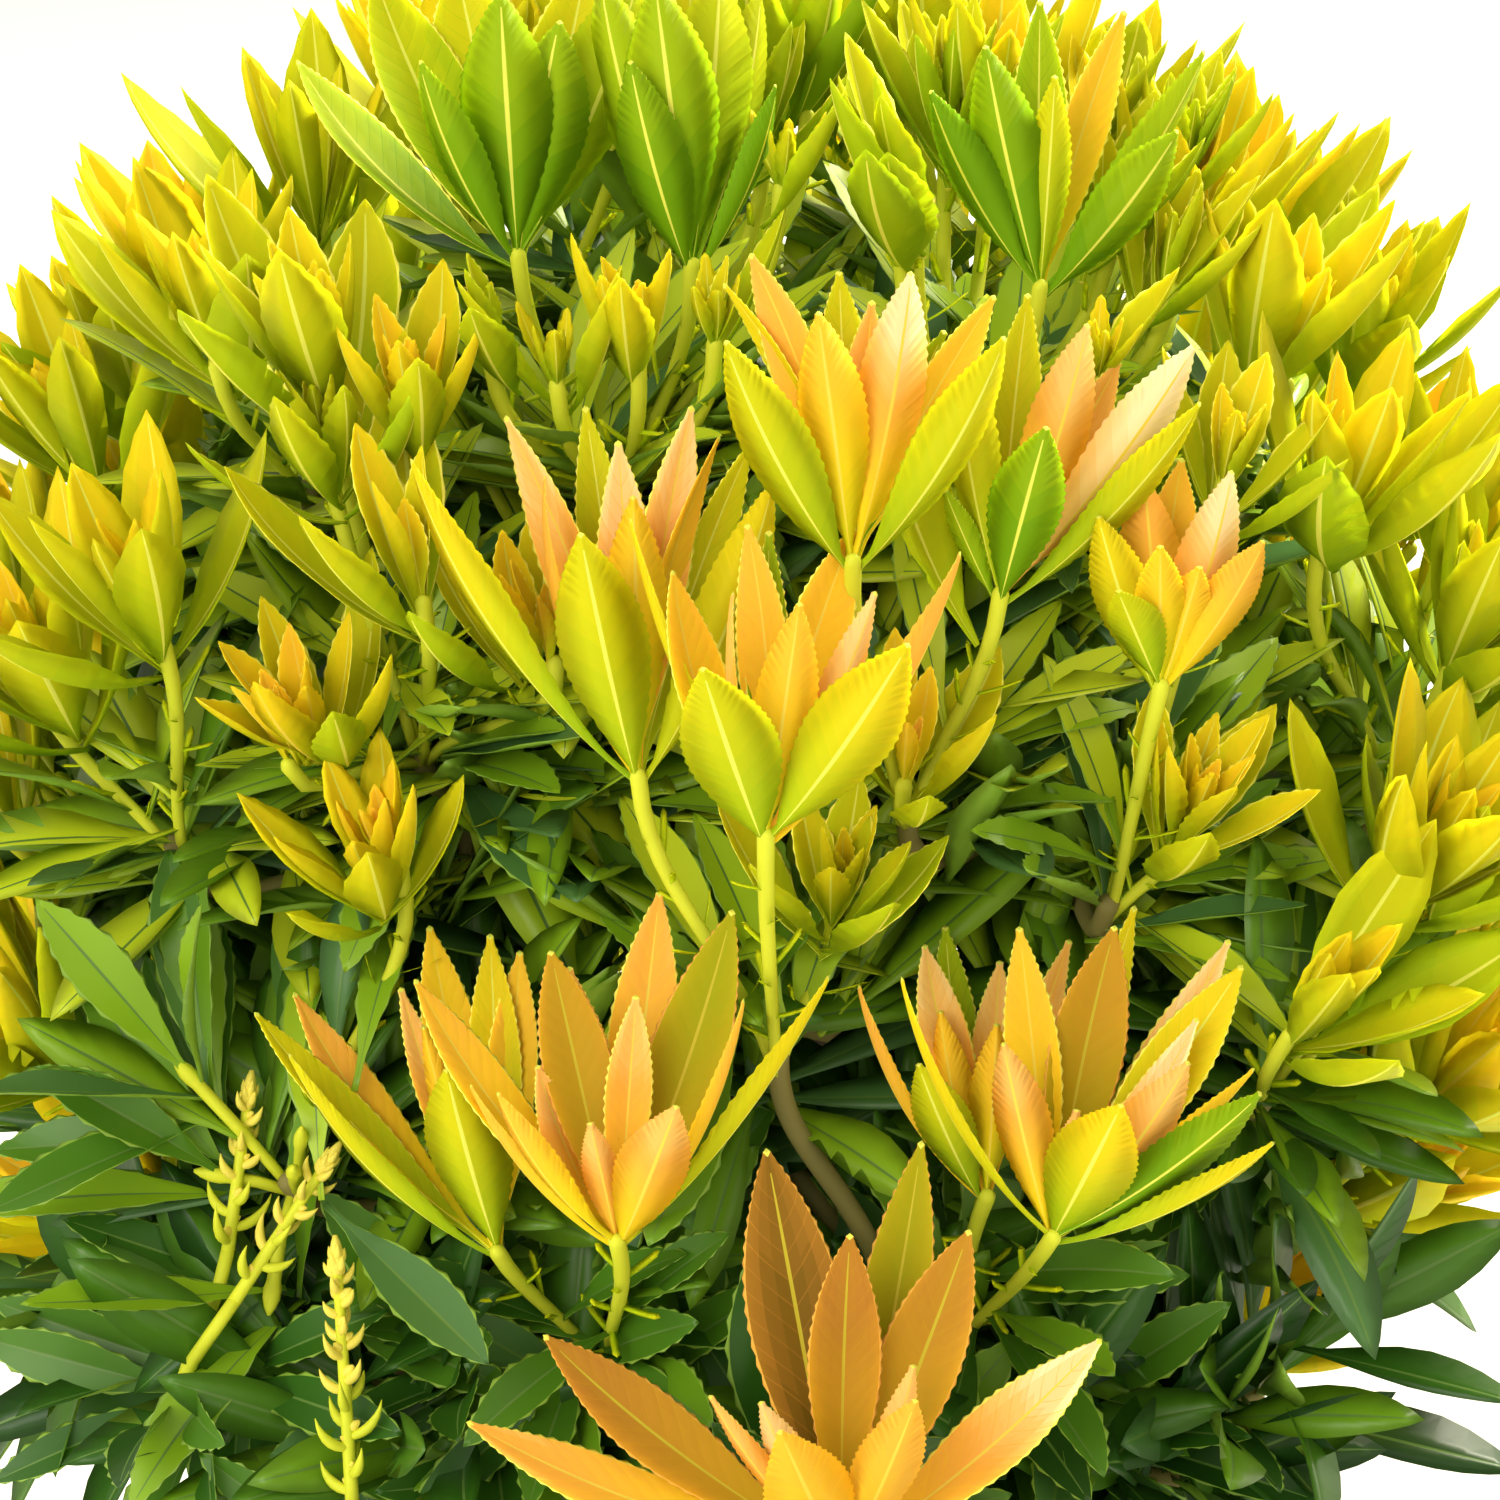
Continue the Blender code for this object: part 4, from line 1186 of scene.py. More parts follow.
def leafPoints(template, leaf):
    # All the leaves of one form at once: leaf by leaf, row by row, point by point across
    form = template["form"]
    across, side = template["across"][None, :], template["side"][None, :]
    t = template["along"][:, None]
    t = t + leafShape["slant"] * np.abs(across) * t * (1 - t) * 0.5
    t = np.minimum(t, leafShape["lastRow"])[None]
    length = np.linalg.norm(leaf["chord"], axis=1)
    column = {name: leaf[name][:, None, None] for name in leafNumbers}
    reach = np.clip((t - leafShape["petiole"]) / (1 - leafShape["petiole"]), 0.0, 1.0)
    power = np.log(0.5) / np.log(column["widest"])
    half = np.sin(np.pi * reach ** power) ** leafShape["roundness"] * column["width"] / 2
    edge = (np.abs(across) == 1.0)[None]
    toothed = edge & (t > leafShape["toothStart"]) & (t < leafShape["toothEnd"])
    half = half + np.where(toothed, form["tooth"] * template["tooth"][None, :, None], 0.0)
    half = np.maximum(half, leafShape["petioleHalf"])

    # The blade's own directions, bent and twisted along the rib
    chordDir = leaf["chord"] / length[:, None]
    facing = leaf["facing"] - chordDir * (leaf["facing"] * chordDir).sum(axis=1, keepdims=True)
    facing /= np.linalg.norm(facing, axis=1, keepdims=True)
    sideways = np.cross(chordDir, facing)
    lift = -column["bulge"] * 4 * t * (1 - t) * length[:, None, None]
    slope = -column["bulge"] * 4 * (1 - 2 * t)
    norm = np.sqrt(1 + slope ** 2)
    forth, above, aside = (axis[:, None, None] for axis in (chordDir, facing, sideways))
    normal = (-slope / norm)[..., None] * forth + (1 / norm)[..., None] * above
    turn = (column["twist"] * t)[..., None]
    flat = aside * np.cos(turn) + normal * np.sin(turn)
    normal = normal * np.cos(turn) - aside * np.sin(turn)

    # How far each point stands off the flat blade: fold, waves, veins, thickness and keel
    fold = column["fold"] * (leafShape["footFold"] + leafShape["midFold"] * np.sin(np.pi * t))
    u = across[None]
    out = np.abs(u)
    rise = out * half * np.sin(fold)
    ripple = np.sin(leafShape["waves"] * t + column["phase"] + (u > 0) * leafShape["waveShift"])
    rise = rise + column["wave"] * out * half * ripple
    swell = template["swell"][None, :, None] * np.sin(np.pi * np.clip(out, 0, 1))
    rise = rise + swell * np.clip(half / leafShape["veinFade"], 0, 1)
    thick = leafShape["thickness"] * (1 - out ** 3) / 2 * side[None]
    keel = np.where((side[None] < 0) & (out < leafShape["keelHalf"]), leafShape["keel"] * (1.15 - t), 0.0)
    rise = rise + thick - keel
    points = (
        leaf["root"][:, None, None] + leaf["chord"][:, None, None] * t[..., None]
        + above * lift[..., None] + flat * (u * half * np.cos(fold))[..., None] + normal * rise[..., None]
    )
    tips = leaf["root"] + leaf["chord"]
    return np.concatenate([points.reshape(len(length), -1, 3), tips[:, None]], axis=1)


def leafSlots(template, leaf):
    segment, row = template["faceSegment"], template["faceRow"]
    t = template["along"][row][None]
    out = np.abs(template["middle"])[segment][None]
    top = template["topFace"][segment][None]
    rib, rim = template["ribFace"][segment][None], template["rimFace"][segment][None]
    along = np.clip((t - leafColours["toneStart"]) / leafColours["toneReach"], 0, 1)
    tone = leaf["foot"][:, None] + (leaf["tip"] - leaf["foot"])[:, None] * along
    tone = tone + leaf["edge"][:, None] * out ** 2 + leaf["under"][:, None] * ~top
    tone = tone - leafColours["veinShift"] * (template["veinRow"][row][None] & top)
    bronze = leaf["tip"][:, None] > leafColours["bronzeFrom"]

    def stepped(family, share):
        steps = leafColours[f"{family}Steps"]
        return slotOf[f"{family}Leaf1"] + np.clip(np.rint(share * (steps - 1)), 0, steps - 1).astype(int)

    young = np.where(bronze, stepped("bronze", tone - leafColours["bronzeTone"]), stepped("young", tone))
    ripe = leaf["tip"][:, None] > leafColours["ripeFrom"]
    ribSlot = np.where(bronze, slotOf["bronzeRib"], np.where(ripe, slotOf["ripeRib"], slotOf["youngRib"]))
    young = np.where(rib & (t < leafColours["ribEnd"]["young"]), ribSlot, young)
    young = np.where(rim, np.where(bronze, slotOf["bronzeRim"], slotOf["youngRim"]), young)
    young = np.where(t > leafShape["greenTip"], slotOf["youngRib"], young)
    old = slotOf["oldLeaf1"] + np.rint(leaf["foot"][:, None] + 0 * t).astype(int)
    old = np.where(top, old, slotOf["oldUnder"])
    old = np.where(rib & (t < leafColours["ribEnd"]["old"]), slotOf["oldRib"], old)
    old = np.where(rim, slotOf["oldRim"], old)
    return np.where(leaf["old"][:, None] > 0.5, old, young)


templates = {name: leafTemplate(form) for name, form in leafForms.items()}


def leafMesh(name, groups, materials):
    points, loops, totals, slots = [], [], [], []
    offset = 0
    for form, leaves in groups.items():
        if not leaves:
            continue
        template = templates[form]
        table = np.array(leaves, dtype=float)
        leaf = {vector: table[:, 3 * i:3 * i + 3] for i, vector in enumerate(leafVectors)}
        leaf.update({number: table[:, 9 + i] for i, number in enumerate(leafNumbers)})
        verts = leafPoints(template, leaf)
        count, each = verts.shape[:2]
        shift = offset + each * np.arange(count)
        points.append(verts.reshape(-1, 3))
        loops.append((template["loops"][None] + shift[:, None]).ravel())
        totals.append(np.tile(template["totals"], count))
        slots.append(leafSlots(template, leaf).ravel())
        offset += count * each
    return meshFrom(name, *map(np.concatenate, (points, loops, totals, slots)), materials)


# Rosettes of young leaves

rosette = {
    "leaves": (12, 16),
    "length": (0.059, 0.024),
    "width": (0.335, 0.30),
    "angle": (43.0, 7.0),
    "depth": (0.014, 0.001),
    "bulge": (0.10, 0.02),
    "fold": (26.0, 40.0),
    "bow": {"angle": 0.8, "length": 1.6, "ripe": 0.7},
    "spread": {"angle": 6, "turn": 0.15, "bulge": 0.02, "fold": 8, "twist": 0.25, "foot": 0.04, "tip": 0.06},
    "lengthSpread": (0.90, 1.08),
    "widthSpread": (0.92, 1.1),
    "widest": (0.54, -0.03, 0.04),
    "wave": (0.0, 0.10),
    "outerRipe": 0.25,
    "foot": (0.12, 0.40),
    "tip": (0.18, 0.82),
    "edge": -0.04,
    "under": -0.06,
    "behindFrom": 0.12,
    "behindDrop": 0.004,
    "behindScale": 0.9,
}

tuft = {
    "leaves": 6,
    "length": (0.019, 0.012),
    "width": 0.0048,
    "angle": (30.0, 5.0),
    "bulge": 0.06,
    "foot": 0.20,
    "tip": (0.30, 0.3),
    "edge": -0.04,
    "under": -0.08,
}

seenLeaf = {
    "stagger": 0.0030,
    "short": 0.035,
    "shortBulge": 0.3,
    "bulge": (0.05, 0.10),
    "widest": (0.55, -0.02, 0.03),
    "fold": (14, 26),
    "twist": (-0.15, 0.15),
    "wave": (0.0, 0.07),
    "footShift": 0.02,
    "under": -0.04,
}

oldLeaf = {
    "length": 0.062,
    "width": 0.245,
    "depth": (0.016, 0.001),
    "angleSpread": 9,
    "lengthSpread": (0.80, 1.08),
    "widthSpread": (0.9, 1.1),
    "turnSpread": 0.2,
    "widest": 0.60,
    "bulge": (-0.07, 0.03),
    "fold": (24.0, -6, 8),
    "twist": (-0.4, 0.4),
    "wave": (0.02, 0.14),
    # From this height up old leaves are painted lighter, as painted light on the upper crown and painted shade
    # below it
    "paintedLightFrom": 0.21,
    "paintedLightReach": 0.13,
    "paintedLightMost": 1.35,
    "toneSpread": (0.0, 3.2),
    "paintedLightRise": 3.9,
    "greyish": 0.12,
}

# Old leaves by the place where they stand: how many, their angles from the lowest to the highest, and size
oldWhorls = {
    "whorl": {"leaves": 13, "angle": (100.0, 52.0), "size": 1.0},
    "twig": {"leaves": 9, "angle": (95.0, 40.0), "size": 0.95},
    "inner": {"leaves": 10, "angle": (98.0, 30.0), "size": 1.0},
    "shoot": {"leaves": 5, "angle": (80.0, 48.0), "size": 0.85},
    "resting": {"leaves": 9, "angle": (88.0, 24.0), "size": 1.0},
    "spike": {"leaves": 9, "angle": (98.0, 45.0), "size": 0.9},
}

bracts = {
    "from": 0.010,
    "until": 0.012,
    "spacing": 0.0052,
    "spacingSpread": (0.6, 1.3),
    "length": (0.006, 0.014),
    "width": 0.0018,
    "widest": 0.45,
    "bulge": 0.05,
    "angle": (32.0, 62.0),
    "tones": (0.14, 0.22),
}

# How warm a rosette's colours are: warmer in front and behind, and limer towards the top
warmthRule = {"middle": 0.50, "front": 0.18, "height": 0.36, "behind": 0.20, "spread": 0.18, "backReach": 0.08}

# The first number of each run of seeds, so that every shoot and whorl has draws of its own
seeds = {
    "fill": 500, "back": 900, "whorl": 1000, "twig": 2000, "warmth": 3000, "bracts": 4000, "shoot": 5000,
    "seen": 6000, "horns": 7000, "spike": 7100, "resting": 8000, "inner": 9000,
}

room = {
    "shares": (0.28, 0.42, 0.56, 0.70, 0.85, 1.0),
    "sideShare": 0.3,
    "touch": 0.0042,
    "hide": 21.0,
    "stemHide": 14.0,
    "spikeHide": 40.0,
    "hideDepth": 0.003,
    "margin": 0.0015,
    "turnUps": 8,
    "turnUp": 7.0,
    "shorten": 0.05,
    "tries": 5,
    "turn": 0.8,
    "fewest": 4,
}


def addLeaf(group, root, aim, facing, length, width, **look):
    values = {
        "widest": 0.55, "bulge": 0.05, "fold": 0.3, "twist": 0.0, "wave": 0.0, "phase": 0.0,
        "old": 0.0, "foot": 0.3, "tip": 0.6, "edge": 0.0, "under": 0.0, "width": width, **look,
    }
    chord = aim * length
    group.append([*root, *chord, *facing, *(values[name] for name in leafNumbers)])


def viewPlaces(points):
    # Where points show: across, down and distance from the viewer
    forward, right, up = (np.array(axis) for axis in viewAxes())
    offset = np.asarray(points) - np.array(view["place"])
    depth = offset @ forward
    step, middle = frameStep(depth), view["frame"] / 2
    return np.stack([middle + offset @ right / step, middle - offset @ up / step, depth], axis=1)


def leafMarks(root, aim, facing, length, width, bulge):
    # Points spread over a leaf, which tell whether it meets or hides another
    shares = np.array(room["shares"])
    middle = np.array(root) + np.outer(shares, np.array(aim) * length)
    middle -= np.outer(bulge * 4 * shares * (1 - shares) * length, np.array(facing))
    side = np.array(aim.cross(facing).normalized()) * width * room["sideShare"]
    return np.concatenate([middle, middle + side, middle - side])


def growTree(markSets):
    marks = np.concatenate(markSets)
    tree = KDTree(len(marks))
    for i, mark in enumerate(marks):
        tree.insert(mark, i)
    tree.balance()
    return tree


def keepsClear(marks, tree, shown):
    # Whether a leaf stays off the leaves in the tree and leaves the shown ones in view
    if min(tree.find(mark)[2] for mark in marks) < room["touch"]:
        return False
    places = viewPlaces(marks)
    gap = np.hypot(places[:, None, 0] - shown[None, :, 0], places[:, None, 1] - shown[None, :, 1])
    hides = (gap < shown[None, :, 3]) & (places[:, None, 2] < shown[None, :, 2] - room["hideDepth"])
    return not hides.any()


def insideBox(point):
    low, high = cadBox
    return all(low[i] + room["margin"] < point[i] < high[i] - room["margin"] for i in range(3))


def aimedLeaf(root, axis, turn, angle, length):
    # Turns a leaf up and shortens it until its tip stays within the plant's reach
    outward = Matrix.Rotation(turn, 3, axis) @ axis.orthogonal().normalized()
    for attempt in range(room["turnUps"]):
        lean = math.radians(angle - room["turnUp"] * attempt)
        reach = length * (1.0 - room["shorten"] * attempt)
        aim = axis * math.cos(lean) + outward * math.sin(lean)
        if insideBox(root + aim * reach):
            break
    facing = axis * math.sin(lean) - outward * math.cos(lean)
    return aim, facing, reach


def addRosette(mass, rules, base, whorl, number, warmth, scale, form, behind=False):
    # Young leaves from the outer, wide and low ones to the inner, narrow and upright ones
    axis = shootAxis(base)
    tip = base + axis * shoots["tip"]
    back = (whorl - tip).normalized()
    chance = random.Random(number)
    spread, bow = rosette["spread"], rosette["bow"]

    def stray(name):
        return chance.uniform(-spread[name], spread[name])

    phase = chance.uniform(0, 2 * math.pi)
    count = chance.randint(*rosette["leaves"])
    grown = 0
    for i in range(count):
        inward = i / (count - 1)
        angle = between(rosette["angle"], inward ** bow["angle"]) + stray("angle")
        length = between(rosette["length"], inward ** bow["length"])
        length *= chance.uniform(*rosette["lengthSpread"]) * scale
        root = tip + back * between(rosette["depth"], inward)
        turn = phase + goldenAngle * i + stray("turn")
        aim, facing, reach = aimedLeaf(root, axis, turn, angle, length)
        width = length * between(rosette["width"], inward) * chance.uniform(*rosette["widthSpread"])
        bulge = between(rosette["bulge"], inward) + stray("bulge")
        fold = between(rosette["fold"], inward) + stray("fold")
        ripe = warmth * between((rosette["outerRipe"], 1.0), inward ** bow["ripe"])
        widest, thinner, wider = rosette["widest"]
        look = {
            "widest": widest + chance.uniform(thinner, wider), "bulge": bulge, "fold": math.radians(fold),
            "twist": stray("twist"), "wave": chance.uniform(*rosette["wave"]),
            "phase": chance.uniform(0, aboutATurn), "edge": rosette["edge"], "under": rosette["under"],
        }
        for end in ("foot", "tip"):
            least, more = rosette[end]
            look[end] = least + more * ripe + stray(end)
        if behind and (aim - axis * aim.dot(axis)).dot(viewAxes()[0]) < rosette["behindFrom"]:
            continue
        marks = leafMarks(root, aim, facing, reach, width, bulge)
        if not keepsClear(marks, rules["tree"], rules["shown"]):
            continue
        mass["marks"].append(marks)
        addLeaf(mass["groups"][form], root, aim, facing, reach, width, **look)
        grown += 1
    if grown < room["fewest"] and not behind:
        addTuft(mass, tip, axis, phase, warmth)


def addTuft(mass, tip, axis, phase, warmth):
    # A few small upright leaves, for a shoot that has no room for a rosette
    least, more = tuft["tip"]
    look = {name: tuft[name] for name in ("bulge", "foot", "edge", "under")}
    for i in range(tuft["leaves"]):
        inward = i / (tuft["leaves"] - 1)
        length, angle = between(tuft["length"], inward), between(tuft["angle"], inward)
        aim, facing, reach = aimedLeaf(tip, axis, phase + goldenAngle * i, angle, length)
        mass["marks"].append(leafMarks(tip, aim, facing, reach, tuft["width"], tuft["bulge"]))
        addLeaf(
            mass["groups"]["plain"], tip, aim, facing, reach, tuft["width"], tip=least + more * warmth, **look,
        )


def edgeShift(tone):
    # Lime leaves are greener along the edge, ripe ones pinker, and the brownest one lighter
    return next(shift for above, shift in leafColours["edgeShifts"] if tone > above)


def addSeenLeaves(mass, base, leaves, number):
    # Leaves that run from the rosette's foot to the places where their tips show
    forward, _, _ = viewAxes()
    chance = random.Random(seeds["seen"] + number)
    axis = shootAxis(base)
    for i, (across, down, nearer, width, turn, foot, tone) in enumerate(leaves):
        root = base + axis * (seenLeaf["stagger"] * (i % 3) / 2)
        depth = (root - Vector(view["place"])).dot(forward) - nearer / 1000
        chord = seenPoint(across, down, depth) - root
        aim = chord.normalized()
        towards = (-forward - aim * -forward.dot(aim)).normalized()
        angle = math.radians(turn)
        facing = towards * math.cos(angle) + aim.cross(towards) * math.sin(angle)
        shortness = 1.0 if chord.length > seenLeaf["short"] else seenLeaf["shortBulge"]
        bulge = shortness * chance.uniform(*seenLeaf["bulge"])
        widest, thinner, wider = seenLeaf["widest"]
        addLeaf(
            mass["groups"]["seen"], root, aim, facing, chord.length, width / 1000,
            widest=widest + chance.uniform(thinner, wider), bulge=bulge,
            fold=math.radians(chance.uniform(*seenLeaf["fold"])), twist=chance.uniform(*seenLeaf["twist"]),
            wave=chance.uniform(*seenLeaf["wave"]), phase=chance.uniform(0, aboutATurn),
            foot=foot - seenLeaf["footShift"], tip=tone, edge=edgeShift(tone), under=seenLeaf["under"],
        )
        mass["marks"].append(leafMarks(root, aim, facing, chord.length, width / 1000, bulge))


def planOldLeaves(mass, kind, number, place, back, axis, form="old", tube=None):
    mass["oldToAdd"].append((oldWhorls[kind], seeds[kind] + number, place, back, axis, form, tube))


def addOldLeaves(mass, rules, plan, seed, place, back, axis, form):
    # Last year's leaves round a twig, each turned on until it has room, or left out
    chance = random.Random(seed)
    phase = chance.uniform(0, 2 * math.pi)
    grown = 0
    for i in range(plan["leaves"]):
        share = i / (plan["leaves"] - 1)
        angle = between(plan["angle"], share) + chance.uniform(-oldLeaf["angleSpread"], oldLeaf["angleSpread"])
        root = place + back * between(oldLeaf["depth"], share)
        length = oldLeaf["length"] * chance.uniform(*oldLeaf["lengthSpread"]) * plan["size"]
        width = length * oldLeaf["width"] * chance.uniform(*oldLeaf["widthSpread"])
        turn = phase + goldenAngle * i + chance.uniform(-oldLeaf["turnSpread"], oldLeaf["turnSpread"])
        fold, flatter, deeper = oldLeaf["fold"]
        look = {
            "widest": oldLeaf["widest"], "bulge": chance.uniform(*oldLeaf["bulge"]),
            "fold": math.radians(fold + chance.uniform(flatter, deeper)),
            "twist": chance.uniform(*oldLeaf["twist"]), "wave": chance.uniform(*oldLeaf["wave"]),
            "phase": chance.uniform(0, aboutATurn), "old": 1.0, "foot": oldTone(root.z, chance),
        }
        for attempt in range(room["tries"]):
            aim, facing, reach = aimedLeaf(root, axis, turn + room["turn"] * attempt, angle, length)
            marks = leafMarks(root, aim, facing, reach, width, look["bulge"])
            if keepsClear(marks, rules["tree"], rules["shown"]):
                addLeaf(mass["groups"][form], root, aim, facing, reach, width, **look)
                grown += 1
                break
    return grown


def oldTone(height, chance):
    # Old leaves are painted lighter towards the top of the plant and darker lower down, as painted light and
    # shade from the lamps above and behind, on top of a rank that differs at random; a few are greyish
    rise = min(max((height - oldLeaf["paintedLightFrom"]) / oldLeaf["paintedLightReach"], 0.0), oldLeaf["paintedLightMost"])
    rank = int(chance.uniform(*oldLeaf["toneSpread"]) + oldLeaf["paintedLightRise"] * rise)
    greyish = len(leafColours["old"]) - 1
    return greyish if chance.random() < oldLeaf["greyish"] else min(rank, greyish - 1)


def addBracts(groups, line, seed):
    # Small narrow leaves scattered up a young stem
    chance = random.Random(seed)
    gone = bracts["from"]
    turn = chance.uniform(0, aboutATurn)
    steps = [(b - a).length for a, b in zip(line, line[1:])]
    foot, tip = bracts["tones"]
    while gone < sum(steps) - bracts["until"]:
        left, at = gone, 0
        while left > steps[at]:
            left -= steps[at]
            at += 1
        along = (line[at + 1] - line[at]).normalized()
        root = line[at] + along * left
        length = chance.uniform(*bracts["length"])
        aim, facing, reach = aimedLeaf(root, along, turn, chance.uniform(*bracts["angle"]), length)
        addLeaf(
            groups["bract"], root, aim, facing, reach, bracts["width"],
            widest=bracts["widest"], bulge=bracts["bulge"], foot=foot, tip=tip,
        )
        turn += goldenAngle
        gone += bracts["spacing"] * chance.uniform(*bracts["spacingSpread"])


# Twigs of a mass, with the swollen whorls that they part at

barkSlot, stemSlot, budSlot = range(3)
twigFinishes = (
    ("twigBark", (0.260, 0.220, 0.060), {"roughness": 0.7}),
    ("youngStem", (0.700, 0.740, 0.040), {"roughness": 0.50, "glow": 0.5, "specular": 0.2}),
    ("spikeBud", (0.880, 0.740, 0.110), {"roughness": 0.50, "glow": 0.6, "specular": 0.2}),
)


def sideRoot(node, axis, towards):
    sideways = towards - node
    sideways -= axis * sideways.dot(axis)
    return node - axis * shoots["nodeDepth"] + sideways.normalized() * shoots["nodeOffset"]


def bentLine(start, end, leave, arrive, step=shoots["step"]):
    # A smooth twig that leaves one way and arrives another
    reach = (end - start).length * shoots["bend"]
    a, b = start + leave * reach, end - arrive * reach
    count = max(3, int((end - start).length / step))
    points = []
    for i in range(count + 1):
        t = i / count
        points.append(
            start * (1 - t) ** 3 + a * (3 * t * (1 - t) ** 2) + b * (3 * t * t * (1 - t)) + end * t ** 3
        )
    return points


def taper(line, start, end):
    return [start + (end - start) * i / (len(line) - 1) for i in range(len(line))]


def endTube(line, radii, along, steps):
    # Carries a tube past its end, by steps of reach and share of its last radius
    ends = [line[-1] + along * reach for reach, _ in steps]
    return line + ends, radii + [radii[-1] * share for _, share in steps]


def budEnd(line, radii):
    # A shoot that rests ends in a pointed bud
    return endTube(line, radii, (line[-1] - line[-2]).normalized(), shoots["bud"])


def markPoints(points):
    return np.array([list(point) for point in points])


def growTwigs(mass):
    # Twigs, bracts, spikes and the leaves that the front shows, with a list of the leaves to add
    mass["groups"] = {name: [] for name in leafForms}
    for kind in ("tubes", "marks", "stemMarks", "spikeMarks", "youngToAdd", "oldToAdd"):
        mass[kind] = []
    tubes, fork, (limb, limbRadii) = mass["tubes"], mass["fork"], mass["limb"]
    along = (limb[-1] - limb[-2]).normalized()
    stemFoot = mass["tip"] + along * shoots["stemOverlap"]
    stem = bentLine(stemFoot, fork, along, (fork - mass["tip"]).normalized())
    tubes.append((stem, taper(stem, limbRadii[-1], shoots["forkRadius"]), barkSlot))
    for cluster in mass["clusters"]:
        axis, whorl, number = cluster["axis"], cluster["whorl"], cluster["number"]
        root = fork - along * shoots["nodeDepth"]
        twig = bentLine(root, whorl, ((whorl - fork).normalized() + along).normalized(), axis)
        if number in crown["twigPlaces"]:
            bend = seenPoint(*crown["twigPlaces"][number])
            lean = (whorl - bend).normalized()
            shown = bentLine(bend, whorl, lean, axis, shoots["shownStep"] * shoots["step"])
            twig = bentLine(root, bend, (bend - root).normalized(), lean)[:-1] + shown
            mass["stemMarks"].append(markPoints(shown))
        thick = taper(twig, shoots["twigRadius"] * shoots["twigSwell"], shoots["whorlRadius"])
        knob = [whorl + axis * reach for reach, _ in shoots["knob"]]
        tubes.append((twig + knob, thick + [radius for _, radius in shoots["knob"]], barkSlot))
        back = (fork - whorl).normalized()
        planOldLeaves(mass, "whorl", number, whorl, back, axis, "oldNear" if cluster["seen"] else "old")
        for part, share in enumerate(shoots["oldTwigPlaces"]):
            planOldLeaves(mass, "twig", 3 * number + part, whorl.lerp(fork, share), back, axis)
        for place, (base, shoot) in enumerate(zip(cluster["bases"], cluster["shoots"])):
            growShoot(mass, cluster, base, shoot, place, 1.0)
        for kind, scale in (("fill", 1.0), ("back", crown["backScale"])):
            for i, base in enumerate(cluster[kind]):
                growShoot(mass, cluster, base, seeds[kind] + 10 * number + i, None, scale)
        for i, point in enumerate(cluster["inner"]):
            away, upright = (point - whorl).normalized(), shootAxis(point)
            line = bentLine(whorl.lerp(fork, shoots["innerFrom"]), point, away, (away + upright).normalized())
            tubes.append((line, taper(line, shoots["twigRadius"], shoots["radius"]), barkSlot))
            planOldLeaves(mass, "inner", 20 * number + i, point, -away, upright)
    for i, (foot, top, node) in enumerate(mass["spikes"]):
        growSpike(mass, foot, top, node, i)


def growShoot(mass, cluster, base, shoot, place, scale):
    # One shoot from its whorl to its rosette, or to a bud where it rests
    axis, whorl, number, near = (cluster[name] for name in ("axis", "whorl", "number", "seen"))
    shootDir = shootAxis(base)
    leaves = seenRosettes.get((number, place), ())
    tip = base + shootDir * (shoots["seenTip"] if leaves else shoots["tip"])
    outward, upward = shoots["leave"]
    leave = ((base - whorl).normalized() * outward + axis * upward).normalized()
    line = bentLine(sideRoot(whorl, axis, base), tip, leave, shootDir)
    radii = taper(line, shoots["radius"] * shoots["footShare"], shoots["topRadius"])
    rests = restsHere(base) and not leaves
    if rests:
        line = line[:max(3, int(len(line) * shoots["restShare"]))]
        radii = radii[:len(line)]
        tip = line[-1]
        mass["tubes"].append((*budEnd(line, radii), stemSlot))
    else:
        mass["tubes"].append((*endTube(line, radii, shootDir, shoots["roundTip"]), stemSlot))
    third = len(line) // 3
    below, down = line[third], (line[0] - line[third]).normalized()
    planOldLeaves(mass, "shoot", shoot, below, down, shootDir, "oldNear" if near else "old")
    if leaves:
        mass["stemMarks"].append(markPoints(line[third:]))
    if rests:
        planOldLeaves(mass, "resting", shoot, tip, -shootDir, shootDir, "oldNear", len(mass["tubes"]) - 1)
        return
    addBracts(mass["groups"], line, seeds["bracts"] + shoot)
    warmth = seenWarmth[number][place] if near and place is not None else rosetteWarmth(base, shoot)
    if leaves:
        addSeenLeaves(mass, base, leaves, shoot)
        lower = base - shootDir * rosette["behindDrop"]
        mass["youngToAdd"].append((lower, whorl, shoot, warmth, rosette["behindScale"], "plain", True))
    else:
        mass["youngToAdd"].append((base, whorl, shoot, warmth, scale, "near" if near else "plain"))


def rosetteWarmth(base, shoot):
    front = max(0.0, -base.y) / crown["radius"]
    behind = min(max(base.y / warmthRule["backReach"] + 0.5, 0.0), 1.0)
    stray = random.Random(seeds["warmth"] + shoot).uniform(-warmthRule["spread"], warmthRule["spread"])
    warmth = (
        warmthRule["middle"] + warmthRule["front"] * front - warmthRule["height"] * crownShare(base)
        + warmthRule["behind"] * behind + stray * (1.0 + behind)
    )
    return min(max(warmth, 0.0), 1.0)


